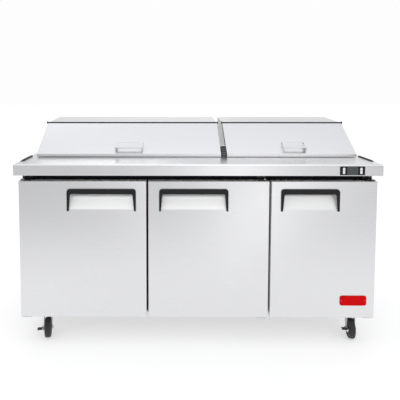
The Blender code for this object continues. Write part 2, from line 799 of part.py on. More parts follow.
def make_shelf(number, door):
    """A flat rack of bars, resting on the step at the back and on two clips in front."""
    left, right = door_opening(door)
    left, right = left + 0.004, right - 0.004
    front, back, (low, high) = SHELF_FRONT, SHELF_BACK, SHELF_Z
    shelf = box(f"shelf_{number}", (left, front, low), (right, back, high))
    pitch = (right - left - 0.008) / SHELF_BARS
    slot = pitch - SHELF_BAR
    rows = ((front + 0.010, SHELF_CROSS[0]), (SHELF_CROSS[1], back - 0.010))
    for row_front, row_back in rows:
        for i in range(SHELF_BARS):
            x = left + 0.007 + i * pitch
            cut_box(shelf, (x, row_front, low - CLEAR), (x + slot, row_back, high + CLEAR))
    finish(shelf, LINER_METAL)


def make_pan(name, left, right):
    """An open food pan hung by its rim."""
    rim_top, rim_low = WORKTOP_TOP + 0.0018, WORKTOP_TOP + TOUCH
    gap = 0.002
    sheet = 0.0012
    pan = box(name, (left, PAN_FRONT, rim_low), (right, PAN_REAR, rim_top))
    inset = PAN_RIM + gap
    floor = WORKTOP_TOP - PAN_DEPTH
    body = box(
        f"{name}_body",
        (left + inset, PAN_FRONT + inset, floor),
        (right - inset, PAN_REAR - inset, rim_low + 0.0008),
        0.94,
    )
    join(pan, body)
    cut_box(
        pan,
        (left + inset + sheet, PAN_FRONT + inset + sheet, floor + sheet),
        (right - inset - sheet, PAN_REAR - inset - sheet, rim_top + 0.005),
        0.94,
    )
    finish(pan, STEEL)


def make_condensing_unit():
    """Compressor, coil and fan shroud on one tray behind the grille."""
    floor = BASE_BOTTOM + SHEET + TOUCH
    unit = box("condensing_unit", (-0.50, 0.202, floor), (0.20, 0.360, floor + 0.004))
    join_box(unit, (-0.46, 0.318, floor + 0.002), (-0.18, 0.354, 0.430))
    for i in range(9):
        x = -0.452 + i * 0.030
        cut_box(unit, (x, 0.336, floor + 0.016), (x + 0.022, 0.37, 0.418))
    shroud = box("condensing_unit_shroud", (-0.43, 0.262, floor + 0.02), (-0.21, 0.322, 0.385))
    join(unit, shroud)
    cut(
        unit,
        cylinder("condensing_unit_duct", (FAN_X, 0.285, FAN_Z), 0.098, 0.062, "Y", sides=24),
    )
    shell = turned(
        "condensing_unit_shell",
        [(0.0, 0.17), (0.045, 0.155), (0.066, 0.120), (0.066, 0.040), (0.055, 0.0), (0.0, 0.0)],
        (0.04, 0.279, floor + 0.002),
        sides=20,
    )
    join(unit, shell)
    finish(unit, COPPER_BLACK)
    make_condenser_fan()


def make_condenser_fan():
    """A hub with pitched blades, turning about Y."""
    centre = (FAN_X, FAN_Y, FAN_Z)
    pivot = empty("condenser_fan_axis", centre)
    fan = cylinder("condenser_fan", centre, 0.022, 0.030, "Y", sides=16)
    for i in range(FAN_BLADES):
        blade = box_mesh("condenser_fan_blade", (-0.026, -0.0012, 0.010), (0.026, 0.0012, 0.088))
        blade.transform(Matrix.Rotation(math.radians(FAN_PITCH), 4, "Z"))
        blade.transform(Matrix.Rotation(math.tau * i / FAN_BLADES, 4, "Y"))
        blade.transform(Matrix.Translation(centre))
        join(fan, add(blade.name, blade))
    finish(fan, BLACK_PLASTIC, pivot)


def make_evaporator():
    """The cold coil's housing, high at the back of the food space."""
    left, right, front, back, low, high = -0.30, 0.26, 0.238, 0.318, 0.600, 0.790
    coil = box("evaporator", (left, front, low), (right, back, high))
    cut_box(coil, (left + 0.01, front + 0.060, low + 0.01), (right - 0.01, back + 0.01, high - 0.01))
    slots = 14
    pitch = (right - left - 0.020) / slots
    for i in range(slots):
        x = left + 0.014 + i * pitch
        cut_box(coil, (x, front - 0.01, low + 0.02), (x + pitch - 0.010, front + 0.050, high - 0.02))
    finish(coil, LINER_METAL)


def make_rear_grille():
    """A louvred panel over the machine compartment."""
    y = CABINET_REAR + TOUCH
    grille = box(
        "rear_grille",
        (-GRILLE_HALF, y, GRILLE_Z[0]),
        (GRILLE_HALF, y + GRILLE_SHEET, GRILLE_Z[1]),
    )
    first_x = -((GRILLE_COLUMNS - 1) * LOUVRE_PITCH[0] + LOUVRE_WIDTH) / 2
    for column in range(GRILLE_COLUMNS):
        x = first_x + column * LOUVRE_PITCH[0]
        for row in range(GRILLE_ROWS):
            z = GRILLE_Z[0] + 0.022 + row * LOUVRE_PITCH[1]
            cut_box(
                grille, (x, y - CLEAR, z), (x + LOUVRE_WIDTH, y + CLEAR, z + LOUVRE_HEIGHT)
            )
    finish(grille, DARK_STEEL)


# ---------------------------------------------------------------- controller


def make_controller():
    """A dark bezel in the worktop's lip, with a display and two buttons let into it."""
    gap = 0.0005
    holes = [frame_outline(DISPLAY_X, DISPLAY_Z)]
    for x in BUTTONS_X:
        holes.append(frame_outline((x - BUTTON_HALF_WIDTH, x + BUTTON_HALF_WIDTH), BUTTON_Z))
    bezel = prism(
        "controller_bezel",
        [frame_outline(PANEL_X, PANEL_Z), *holes],
        "Y",
        FRONT + 0.0008,
        WORKTOP_FRONT - TOUCH,
    )
    finish(bezel, BLACK_PLASTIC)

    display = box(
        "controller_display",
        (DISPLAY_X[0] + gap, FRONT + 0.0013, DISPLAY_Z[0] + gap),
        (DISPLAY_X[1] - gap, FRONT + 0.0180, DISPLAY_Z[1] - gap),
    )
    finish(display, GLASS_BLACK)

    for name, x in zip(("left", "right"), BUTTONS_X):
        half = BUTTON_HALF_WIDTH - gap
        middle = (BUTTON_Z[0] + BUTTON_Z[1]) / 2
        pivot = empty(f"button_{name}_slide", (x, FRONT, middle))
        button = box(
            f"button_{name}",
            (x - half, FRONT, BUTTON_Z[0] + gap),
            (x + half, FRONT + 0.010, BUTTON_Z[1] - gap),
        )
        finish(button, WHITE_PLASTIC, pivot)


# ---------------------------------------------------------------- castors


def make_caster(name, x, y, turn, braked):
    """A swivelling fork with its axle, drawn trailing backwards and turned into place."""
    pivot = empty(f"caster_{name}_swivel", (x, y, RACE_TOP))
    race = (RACE_TOP + RACE_BOTTOM) / 2
    fork = cylinder(f"caster_fork_{name}", (x, y, race), 0.030, RACE_TOP - RACE_BOTTOM, sides=20)
    axle_y = y + TRAIL
    reach = FORK_HALF + FORK_PLATE
    join_box(fork, (x - reach, y - 0.024, RACE_BOTTOM - 0.003), (x + reach, y + 0.034, 0.1235))
    cheek = [
        (y - 0.022, 0.1215),
        (axle_y - 0.012, WHEEL_RADIUS - 0.006),
        (axle_y - 0.006, WHEEL_RADIUS - 0.013),
        (axle_y + 0.006, WHEEL_RADIUS - 0.013),
        (axle_y + 0.012, WHEEL_RADIUS - 0.006),
        (y + 0.032, 0.1215),
    ]
    for low in (x - reach, x + FORK_HALF):
        join(fork, prism(f"{fork.name}_cheek", [cheek], "X", low, low + FORK_PLATE))
    axle = cylinder(
        f"{fork.name}_axle", (x, axle_y, WHEEL_RADIUS), AXLE_RADIUS, 2 * reach + 0.004, "X", sides=12
    )
    join(fork, axle)
    finish(fork, DARK_STEEL, pivot)

    spin = empty(f"caster_{name}_axle", (x, axle_y, WHEEL_RADIUS), pivot)
    rim = WHEEL_RADIUS / math.cos(math.pi / WHEEL_SIDES)
    half, bore = WHEEL_WIDTH / 2, AXLE_RADIUS + 0.0008
    wheel = turned(
        f"caster_wheel_{name}",
        [
            (rim - 0.004, half),
            (rim, half - 0.006),
            (rim, -half + 0.006),
            (rim - 0.004, -half),
            (rim - 0.014, -half),
            (rim - 0.017, -half + 0.004),
            (0.016, -half + 0.004),
            (0.014, -half - 0.001),
            (bore, -half - 0.001),
            (bore, half + 0.001),
            (0.014, half + 0.001),
            (0.016, half - 0.004),
            (rim - 0.017, half - 0.004),
            (rim - 0.014, half),
        ],
        (x, axle_y, WHEEL_RADIUS),
        "X",
    )
    finish(wheel, RUBBER, spin)

    if braked:
        make_brake_lever(name, x, axle_y, reach, pivot)
    pivot.rotation_euler.z = math.radians(turn)


def make_brake_lever(name, x, axle_y, reach, pivot):
    """A pedal beside the wheel, pivoting on the axle's end."""
    hinge = empty(f"brake_{name}_axis", (x, axle_y, WHEEL_RADIUS), pivot)
    arm = [
        (axle_y - 0.010, WHEEL_RADIUS - 0.010),
        (axle_y + 0.040, WHEEL_RADIUS - 0.002),
        (axle_y + 0.046, WHEEL_RADIUS + 0.016),
        (axle_y - 0.010, WHEEL_RADIUS + 0.010),
    ]
    low = x + reach + TOUCH
    lever = prism(f"brake_lever_{name}", [arm], "X", low, low + 0.0035)
    join_box(
        lever,
        (low + 0.0015, axle_y + 0.016, WHEEL_RADIUS + 0.006),
        (low + 0.030, axle_y + 0.043, WHEEL_RADIUS + 0.010),
    )
    cut(
        lever,
        cylinder(
            f"{lever.name}_hole",
            (low, axle_y, WHEEL_RADIUS),
            AXLE_RADIUS + 0.0008,
            0.02,
            "X",
            sides=12,
        ),
    )
    finish(lever, STEEL, hinge)


# ---------------------------------------------------------------- assembly

clear_scene()
PARTS = collection("sandwich_prep_table")
CUTTERS = collection("cutters")

make_outer_casing()
make_liner_and_insulation()
make_front_frame()
make_base_pan()
make_worktop()
make_end_trims()
make_lid_divider()
for index, one_door in enumerate(DOORS, start=1):
    door_pivot = make_door(index, one_door)
    make_hinges(index, one_door)
    make_shelf(index, one_door)
make_nameplate(door_pivot)
for lid_side in LIDS:
    make_lid(lid_side)
for pan_name, (pan_left, pan_right) in PANS.items():
    make_pan(pan_name, pan_left, pan_right)
make_condensing_unit()
make_evaporator()
make_rear_grille()
make_controller()
for caster in CASTERS:
    make_caster(*caster)
bpy.context.view_layer.update()
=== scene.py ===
"""Looks of a three-door refrigerated sandwich prep table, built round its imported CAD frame."""

import json
import math

import bmesh
import bpy
from mathutils import Matrix, Vector


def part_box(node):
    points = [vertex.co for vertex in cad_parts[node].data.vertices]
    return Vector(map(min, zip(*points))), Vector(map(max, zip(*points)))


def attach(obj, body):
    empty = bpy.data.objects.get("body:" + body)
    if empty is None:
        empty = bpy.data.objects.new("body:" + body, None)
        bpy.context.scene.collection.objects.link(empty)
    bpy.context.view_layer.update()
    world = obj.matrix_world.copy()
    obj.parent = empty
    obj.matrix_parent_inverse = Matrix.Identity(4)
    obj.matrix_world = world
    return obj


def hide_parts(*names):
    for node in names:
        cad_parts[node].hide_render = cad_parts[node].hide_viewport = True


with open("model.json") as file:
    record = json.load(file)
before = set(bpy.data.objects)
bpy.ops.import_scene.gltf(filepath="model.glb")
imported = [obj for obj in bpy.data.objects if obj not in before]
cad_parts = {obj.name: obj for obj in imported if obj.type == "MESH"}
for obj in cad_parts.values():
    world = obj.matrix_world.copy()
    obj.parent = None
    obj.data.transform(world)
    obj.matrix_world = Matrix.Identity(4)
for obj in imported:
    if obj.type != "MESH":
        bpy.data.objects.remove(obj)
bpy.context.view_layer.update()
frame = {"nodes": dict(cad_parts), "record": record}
NODES = frame["nodes"]
JOINTS = {joint["name"]: joint for joint in frame["record"]["behaviour"]["joints"]}
CASTERS = ("front_left", "front_right", "rear_left", "rear_right")
SIDES = ("left", "right")
DOORS = (1, 2, 3)
DOOR_PANELS = {f"door_{number}_panel": number for number in DOORS}

# ---------------------------------------------------------------- camera

# Almost square-on, from a little above the worktop. The lens and sensor are in millimetres.
CAMERA_PLACE = (-0.1335, -2.5753, 1.3213)
CAMERA_PITCH, CAMERA_YAW = math.radians(86.32), math.radians(0.38)
CAMERA_LENS, CAMERA_SENSOR = 40.05, 36.0
CAMERA_SHIFT = (0.08, -0.21)


def make_camera():
    data = bpy.data.cameras.new("camera")
    data.lens, data.sensor_width = CAMERA_LENS, CAMERA_SENSOR
    data.shift_x, data.shift_y = CAMERA_SHIFT
    data.dof.use_dof = False
    camera = bpy.data.objects.new("camera", data)
    camera.location = CAMERA_PLACE
    camera.rotation_euler = (CAMERA_PITCH, 0.0, CAMERA_YAW)
    bpy.context.scene.collection.objects.link(camera)
    bpy.context.scene.camera = camera


make_camera()

# ---------------------------------------------------------------- node graphs


class Graph:
    """A node tree that is added to by short calls. An input's value is a number or a socket."""

    def __init__(self, tree):
        self.tree = tree
        tree.nodes.clear()

    def add(self, kind, inputs=None, **settings):
        node = self.tree.nodes.new("ShaderNode" + kind)
        for key, value in settings.items():
            setattr(node, key, value)
        for key, value in (inputs or {}).items():
            socket = node.inputs[key]
            if isinstance(value, bpy.types.NodeSocket):
                self.tree.links.new(value, socket)
            else:
                socket.default_value = value
        return node

    def math(self, operation, a, b=0.0, clamp=False):
        return self.add("Math", {0: a, 1: b}, operation=operation, use_clamp=clamp).outputs[0]

    def ramp(self, factor, stops, interpolation="LINEAR"):
        """Grey or coloured stops, as (position, value) pairs."""
        node = self.add("ValToRGB", {0: factor})
        ramp = node.color_ramp
        ramp.interpolation = interpolation
        while len(ramp.elements) < len(stops):
            ramp.elements.new(0.5)
        for element, (place, value) in zip(ramp.elements, stops):
            element.position = place
            element.color = (*value, 1.0) if isinstance(value, tuple) else (value, value, value, 1.0)
        return node.outputs[0]

    def span(self, value, low, high):
        """A 0 to 1 value spread over low to high."""
        return self.add("MapRange", {0: value, 3: low, 4: high}).outputs[0]

    def place(self, scale=(1.0, 1.0, 1.0)):
        """The object's own coordinates, in metres, times scale."""
        coords = self.add("TexCoord").outputs["Object"]
        return self.add("Mapping", {"Vector": coords, "Scale": scale}).outputs[0]

    def noise(self, place, scale, detail=2.0, rough=0.5):
        inputs = {"Vector": place, "Scale": scale, "Detail": detail, "Roughness": rough}
        return self.add("TexNoise", inputs).outputs[0]

    def mix(self, factor, a, b, blend="MIX"):
        node = self.add("Mix", {0: factor, 6: a, 7: b}, data_type="RGBA", blend_type=blend)
        return node.outputs[2]

    def tint(self, colour, low, high, factor):
        """A colour whose brightness goes from low to high times itself as factor goes 0 to 1."""
        dark = tuple(c * low for c in colour) + (1.0,)
        light = tuple(c * high for c in colour) + (1.0,)
        return self.mix(factor, dark, light)

    def bump(self, height, strength, distance, normal=None):
        inputs = {"Height": height, "Strength": strength, "Distance": distance}
        if normal is not None:
            inputs["Normal"] = normal
        return self.add("Bump", inputs).outputs[0]

    def edges(self, radius):
        """1 on convex and concave edges within radius, 0 on flats."""
        rounded = self.add("Bevel", {"Radius": radius}, samples=4).outputs[0]
        true = self.add("NewGeometry").outputs["True Normal"]
        dot = self.add("VectorMath", {0: rounded, 1: true}, operation="DOT_PRODUCT").outputs["Value"]
        return self.add("MapRange", {0: dot, 1: 0.995, 2: 0.80, 3: 0.0, 4: 1.0}).outputs[0]

    def surface(self, **inputs):
        shader = self.add("BsdfPrincipled", {k.replace("_", " "): v for k, v in inputs.items()})
        self.add("OutputMaterial", {"Surface": shader.outputs[0]})
        return shader


def new_material(name):
    made = bpy.data.materials.new(name)
    made.use_nodes = True
    return made, Graph(made.node_tree)


# ---------------------------------------------------------------- materials

# Brush marks run along X. Their noise is stretched by these scales, coarse and fine.
STREAK_SCALE, FINE_SCALE = (3.0, 320.0, 320.0), (30.0, 2400.0, 2400.0)
TANGENT = (0.98, 0.14, 0.14)
STEEL = (0.75, 0.75, 0.76)
WORN_STEEL = (0.86, 0.86, 0.86, 1.0)
GRAIN_DEPTH, CLOUD_DEPTH = 0.00003, 0.0004  # bump heights in metres
PRESSED_FROM, PRESSED_TO = 0.0012, 0.0030  # how far behind its face the painted scoop light fades in, as the sheet turns satin
FINE_DEPTH, PORE_DEPTH, CELL_DEPTH, PEEL_DEPTH = 0.0001, 0.00015, 0.0006, 0.0001
STEEL_WEAR, COAT_WEAR, ENAMEL_WEAR = 0.0012, 0.0011, 0.0009  # how far an edge's wear reaches
PALE, PALING = 0.75, 0.35  # what worn paint fades towards, and how far
DUST = (0.30, 0.29, 0.27, 1.0)
FOAM, GLASS, ENAMEL_WORN = (0.80, 0.76, 0.66), (0.035, 0.042, 0.045), (0.85, 0.45, 0.42, 1.0)


def grey(shade):
    return (shade, shade, shade, 1.0)


def brushed_steel(name, colour=STEEL, rough=0.29, bow=None, painted_scoop_light=None, painted_face_light=None):
    """Stainless sheet with its brush marks along X. bow is the slope of the sheet's slight
    bow across X, as (left, slope there, right, slope there). painted_scoop_light is the y of
    its face and the paler shade painted into the recess behind that face, made partly satin:
    painted light. painted_face_light paints the faces across one axis lighter, as painted light:
    the axis' number, their painted shade and how much smoother they are."""
    made, g = new_material(name)
    streaks = g.noise(g.place(STREAK_SCALE), 1.0, 3.0)
    fine = g.noise(g.place(FINE_SCALE), 1.0, 2.0, 0.6)
    cloud = g.noise(g.place(), 5.0, 4.0, 0.55)
    wear = g.edges(STEEL_WEAR)
    grain = g.math("ADD", g.math("MULTIPLY", streaks, 0.55), g.math("MULTIPLY", fine, 0.45))
    metallic = 1.0
    base = g.tint(colour, 0.98, 1.015, g.ramp(grain, ((0.3, 0.0), (0.7, 1.0))))
    base = g.mix(g.math("MULTIPLY", wear, 0.5), base, WORN_STEEL)
    roughness = g.math("ADD", g.span(grain, rough - 0.04, rough + 0.04), g.span(cloud, -0.04, 0.04))
    roughness = g.math("ADD", roughness, g.math("MULTIPLY", wear, 0.08), clamp=True)
    # Painted light: the faces across one axis are painted a lighter grey, and made smoother.
    if painted_face_light:
        axis, shade, smoother = painted_face_light
        across = g.add("SeparateXYZ", {0: g.add("TexCoord").outputs["Normal"]}).outputs[axis]
        painted_faces = g.math("GREATER_THAN", g.math("ABSOLUTE", across), 0.9)
        base = g.mix(painted_faces, base, grey(shade))
        roughness = g.math("SUBTRACT", roughness, g.math("MULTIPLY", painted_faces, smoother), clamp=True)
    # Painted light: the recess behind the face is painted a paler grey and made partly satin.
    if painted_scoop_light:
        face, shade = painted_scoop_light
        y = g.add("SeparateXYZ", {0: g.place()}).outputs[1]
        behind = g.add("MapRange", {0: y, 1: face + PRESSED_FROM, 2: face + PRESSED_TO}).outputs[0]
        base = g.mix(behind, base, grey(shade))
        metallic = g.math("SUBTRACT", 1.0, g.math("MULTIPLY", behind, 0.6))
    normal = g.bump(grain, 0.1, GRAIN_DEPTH)
    normal = g.bump(cloud, 0.2, CLOUD_DEPTH, normal)
    if bow:
        left, slope_left, right, slope_right = bow
        x = g.add("SeparateXYZ", {0: g.place()}).outputs[0]
        curve = (slope_right - slope_left) / (right - left)
        lean = g.math("MULTIPLY", g.math("SUBTRACT", x, left), curve / 2)
        height = g.math("MULTIPLY", g.math("ADD", lean, slope_left), g.math("SUBTRACT", x, left))
        normal = g.bump(height, 1.0, 1.0, normal)
    to_world = {"vector_type": "VECTOR", "convert_from": "OBJECT", "convert_to": "WORLD"}
    tangent = g.add("VectorTransform", {0: TANGENT}, **to_world).outputs[0]
    g.surface(
        Base_Color=base,
        Metallic=metallic,
        Roughness=roughness,
        Anisotropic=0.6,
        Tangent=tangent,
        Normal=normal,
    )
    return made


def coated(name, colour, rough, metallic=0.0, texture=900.0, wear=0.35, spec=0.5, spread=0.08):
    """Paint, moulded plastic or plated sheet: fine texture, uneven gloss and paler worn edges."""
    made, g = new_material(name)
    place = g.place()
    fine = g.noise(place, texture, 2.0, 0.6)
    cloud = g.noise(place, 9.0, 4.0, 0.6)
    edge = g.math("MULTIPLY", g.edges(COAT_WEAR), g.span(g.noise(place, 60.0, 3.0), 0.4, 1.0))
    base = g.tint(colour, 1.0 - spread, 1.0 + spread, cloud)
    pale = tuple(c + (PALE - c) * PALING for c in colour) + (1.0,)
    base = g.mix(g.math("MULTIPLY", edge, wear), base, pale)
    gloss = g.span(cloud, rough - 0.07, rough + 0.07)
    g.surface(
        Base_Color=base,
        Metallic=metallic,
        Roughness=g.math("ADD", gloss, g.span(fine, -0.04, 0.04), clamp=True),
        Normal=g.bump(fine, 0.4, FINE_DEPTH),
        Specular_IOR_Level=spec,
    )
    return made


def rubber(name, colour, dust):
    """Rubber, paler where dust lies in its pores."""
    made, g = new_material(name)
    place = g.place()
    pores = g.noise(place, 1400.0, 2.0, 0.7)
    patches = g.noise(place, 40.0, 5.0, 0.65)
    base = g.tint(colour, 0.8, 1.2, pores)
    grime = g.ramp(patches, ((0.45, 0.0), (0.75, 1.0)))
    base = g.mix(g.math("MULTIPLY", grime, dust), base, DUST)
    g.surface(
        Base_Color=base,
        Roughness=g.span(patches, 0.55, 0.85),
        Normal=g.bump(pores, 0.5, PORE_DEPTH),
        Sheen_Weight=0.12,
    )
    return made


def foam(name):
    """Cut foam with small cells."""
    made, g = new_material(name)
    cells = g.add("TexVoronoi", {"Vector": g.place(), "Scale": 420.0}).outputs["Distance"]
    base = g.tint(FOAM, 0.85, 1.08, cells)
    normal = g.bump(cells, 0.6, CELL_DEPTH)
    g.surface(Base_Color=base, Roughness=g.span(cells, 0.8, 0.98), Normal=normal)
    return made


def window(name):
    """Smoked glass of the display."""
    made, g = new_material(name)
    haze = g.noise(g.place(), 70.0, 4.0)
    base = g.tint(GLASS, 0.6, 1.5, haze)
    g.surface(Base_Color=base, Roughness=g.span(haze, 0.08, 0.2), Coat_Weight=0.6, Coat_Roughness=0.04)
    return made


def enamel(name, colour):
    """Glossy enamel with a faint orange peel."""
    made, g = new_material(name)
    place = g.place()
    peel = g.noise(place, 260.0, 2.0)
    cloud = g.noise(place, 30.0, 3.0)
    base = g.tint(colour, 0.85, 1.12, cloud)
    base = g.mix(g.math("MULTIPLY", g.edges(ENAMEL_WEAR), 0.35), base, ENAMEL_WORN)
    g.surface(
        Base_Color=base,
        Roughness=g.span(cloud, 0.22, 0.34),
        Normal=g.bump(peel, 0.2, PEEL_DEPTH),
        Specular_IOR_Level=0.03,
    )
    return made


LOOKS = {
    "stainless_steel": brushed_steel("stainless"),
    "liner_metal": brushed_steel("liner_aluminium", colour=(0.74, 0.75, 0.76), rough=0.38),
    "door_liner": coated("door_liner_moulding", (0.80, 0.80, 0.79), 0.38, texture=500.0),
    "dark_steel": coated(
        "zinc_plate", (0.46, 0.46, 0.47), 0.38, metallic=0.9, texture=240.0, spread=0.14
    ),
    "black_plastic": coated("black_moulding", (0.0125, 0.0125, 0.0145), 0.48, wear=0.12, spec=0.20),
    "frame_black": coated("frame_black", (0.009, 0.009, 0.012), 0.55, wear=0.12, spec=0.12),
    "gasket_rubber": rubber("gasket_vinyl", (0.075, 0.075, 0.080), 0.05),
    "wheel_rubber": rubber("tyre_rubber", (0.014, 0.014, 0.015), 0.10),
    "button_white": coated("button_white", (0.80, 0.80, 0.79), 0.36, texture=700.0),
    "display_dark": window("display_glass"),
    "foam": foam("foam"),
    "badge_red": enamel("badge_enamel", (0.60, 0.003, 0.005)),
    "machine_black": coated("machine_paint", (0.028, 0.028, 0.031), 0.42, texture=420.0),
    # The top hinge brackets' near-black is painted shade of the gap under the worktop, over a dark zinc
    # finish.
    "top_bracket_painted_shade": coated("dark_zinc_and_painted_shade", (0.030, 0.030, 0.033), 0.36, metallic=0.4, texture=300.0, wear=0.5),
    "screw": coated("screw_steel", (0.60, 0.60, 0.61), 0.26, metallic=1.0, texture=500.0),
    "wire": coated("wire_epoxy", (0.72, 0.73, 0.74), 0.34, texture=380.0, wear=0.1),
    "copper": coated("copper_pipe", (0.70, 0.33, 0.20), 0.30, metallic=1.0, texture=200.0, spread=0.18),
    "grey_plastic": coated("grey_moulding", (0.16, 0.16, 0.17), 0.45, texture=800.0, wear=0.2),
    "hub": coated("hub_moulding", (0.030, 0.030, 0.033), 0.40, texture=600.0, wear=0.3),
}

# Slopes of each door skin's slight bow, at its left and right edge, and the paler shade painted into
# its scoop, as painted light.
DOOR_SKINS = {1: (0.02, -0.060, 0.96), 2: (0.075, 0.060, 0.96), 3: (0.065, 0.030, 0.84)}
# The worktop's bow likewise, its steel and the painted light on its top, and the lids' cheeks, painted
# lighter and smoother.
WORKTOP_SLOPES = (0.11, -0.09)
WORKTOP_STEEL, WORKTOP_TOP_PAINTED_LIGHT = (0.79, 0.79, 0.80), 0.87
LID_CHEEK_PAINTED_LIGHT, LID_CHEEK_SMOOTHER = 0.94, 0.12


def door_steel(number):
    low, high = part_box(f"door_{number}_panel")
    slope_left, slope_right, scoop = DOOR_SKINS[number]
    bow = (low.x, slope_left, high.x, slope_right)
    # The scoop's shade is painted light, a paler grey in its recess.
    return brushed_steel(f"door_{number}_stainless", bow=bow, painted_scoop_light=(low.y, scoop))


def worktop_steel():
    low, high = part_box("worktop")
    bow = (low.x, WORKTOP_SLOPES[0], high.x, WORKTOP_SLOPES[1])
    # The top is painted lighter, as painted light.
    top = (2, WORKTOP_TOP_PAINTED_LIGHT, 0.0)
    return brushed_steel("worktop_stainless", colour=WORKTOP_STEEL, bow=bow, painted_face_light=top)


def look_of(node_name, slot_name):
    if node_name in DOOR_PANELS:
        return door_steel(DOOR_PANELS[node_name])
    if node_name == "worktop":
        return worktop_steel()
    if node_name.startswith("hood_"):
        # The cheeks are painted lighter, as painted light, and made smoother.
        cheeks = (0, LID_CHEEK_PAINTED_LIGHT, LID_CHEEK_SMOOTHER)
        return brushed_steel(f"{node_name}_stainless", painted_face_light=cheeks)
    # The top hinge brackets take the near-black look: painted shade of the gap they sit in.
    return LOOKS["top_bracket_painted_shade"] if node_name.startswith("hinge_top") else LOOKS[slot_name]


# ---------------------------------------------------------------- CAD nodes: materials and edges

# How wide each CAD material's edges are rounded, in metres.
EDGE_WIDTHS = {
    "stainless_steel": 0.0007,
    "liner_metal": 0.0006,
    "door_liner": 0.0015,
    "dark_steel": 0.0007,
    "black_plastic": 0.0009,
    "frame_black": 0.0008,
    "gasket_rubber": 0.0012,
    "wheel_rubber": 0.0010,
    "button_white": 0.0010,
    "display_dark": 0.0008,
    "foam": 0.0020,
    "badge_red": 0.0005,
    "machine_black": 0.0010,
}


def round_edges(thing, width, angle=35.0):
    """Rounds the sharp edges, and lets the large faces set the shading."""
    bevel = thing.modifiers.new("edges", "BEVEL")
    bevel.width, bevel.segments = width, 2
    bevel.limit_method, bevel.angle_limit = "ANGLE", math.radians(angle)
    level = thing.modifiers.new("normals", "WEIGHTED_NORMAL")
    level.mode, level.weight, level.keep_sharp = "FACE_AREA", 95, True


WELD_DISTANCE = 0.00002


def soften(thing, width):
    """Joins a CAD node's split corners and rounds its edges."""
    thing.data.attributes.remove(thing.data.attributes["custom_normal"])
    thing.data.polygons.foreach_set("use_smooth", [True] * len(thing.data.polygons))
    for name in ("sharp_edge", "sharp_face"):
        if name in thing.data.attributes:
            thing.data.attributes.remove(thing.data.attributes[name])
    weld = thing.modifiers.new("weld", "WELD")
    weld.merge_threshold = WELD_DISTANCE
    round_edges(thing, width)


for node_name, node in NODES.items():
    slot_name = node.data.materials[0].name
    node.data.materials[0] = look_of(node_name, slot_name)
    soften(node, EDGE_WIDTHS[slot_name])

# ---------------------------------------------------------------- mesh kit


def facing(place, out):
    """A frame at a place whose own Z points out."""
    return Matrix.Translation(place) @ Vector(out).to_track_quat("Z", "Y").to_matrix().to_4x4()


def circle(radius, height=0.0, sides=32):
    turns = [math.tau * i / sides for i in range(sides)]
    return [(radius * math.cos(t), radius * math.sin(t), height) for t in turns]


def stack(form, rings, at=Matrix.Identity(4), closed=False, caps=True):
    """Skins rings of points, each joined to the next, and the last to the first if closed."""
    rows = [[form.verts.new(at @ Vector(point)) for point in ring] for ring in rings]
    for low, high in zip(rows, rows[1:] + (rows[:1] if closed else [])):
        for i, corner in enumerate(low):
            j = (i + 1) % len(low)
            form.faces.new((corner, low[j], high[j], high[i]))
    if caps and not closed:
        form.faces.new(rows[0])
        form.faces.new(rows[-1])
    return rows


def lathe(form, profile, at, sides=32, closed=False):
    """A profile of (radius, height) points turned about the frame's own Z."""
    stack(form, [circle(radius, height, sides) for radius, height in profile], at, closed)


def mirrored(profile):
    """A half profile and its mirror image, from height to minus height, closed."""
    return list(profile) + [(radius, -height) for radius, height in reversed(profile) if height]


def rounded(left, right, bottom, top, radius, depth, steps=5):
    """A rounded rectangle facing the doors' way: points (x, y, z) at y = depth."""
    corners = ((right, top, -1, -1), (left, top, 1, -1), (left, bottom, 1, 1), (right, bottom, -1, 1))
    points = []
    for quarter, (x, z, way_x, way_z) in enumerate(corners):
        centre_x, centre_z = x + way_x * radius, z + way_z * radius
        for i in range(steps):
            turn = math.radians(90 * quarter + 90 * i / (steps - 1))
            across, up = radius * math.cos(turn), radius * math.sin(turn)
            points.append((centre_x + across, depth, centre_z + up))
    return points


TIP_LONG, TIP_WIDTH = 0.45, 0.6  # a wire end's chamfer, in radii
RECESS_ARM, RECESS_HALF = 0.52, 0.12  # a screw's cross recess, likewise


def tube(form, path, radius, hint=(0.0, 0.0, 1.0), sides=10, closed=False):
    """A round wire along a path. Its open ends are chamfered."""
    points = [Vector(point) for point in path]
    normal, rings, last = Vector(hint), [], len(points) - 1
    for i, here in enumerate(points):
        before = points[i - 1] if i or closed else here
        after = points[(i + 1) % len(points)] if i < last or closed else here
        along = (after - before).normalized()
        normal = (normal - along * normal.dot(along)).normalized()
        across = along.cross(normal)
        ring = [normal * x * radius + across * y * radius for x, y, z in circle(1.0, 0.0, sides)]
        ends = {0: -1, last: 1}
        if i in ends and not closed:
            tip = [here + along * ends[i] * radius * TIP_LONG + point * TIP_WIDTH for point in ring]
            body = [here + point for point in ring]
            rings += [tip, body] if i == 0 else [body, tip]
        else:
            rings.append([here + point for point in ring])
    stack(form, rings, closed=closed)


def slab(form, low, high, at=Matrix.Identity(4)):
    """A block between two corners of a frame."""
    (left, front, bottom), (right, back, top) = low, high
    outline = ((left, front), (right, front), (right, back), (left, back))
    stack(form, [[(x, y, z) for x, y in outline] for z in (bottom, top)], at)


def plate(form, outline, low, high):
    """A flat (y, z) outline made solid from x = low to x = high."""
    stack(form, [[(x, y, z) for y, z in outline] for x in (low, high)])


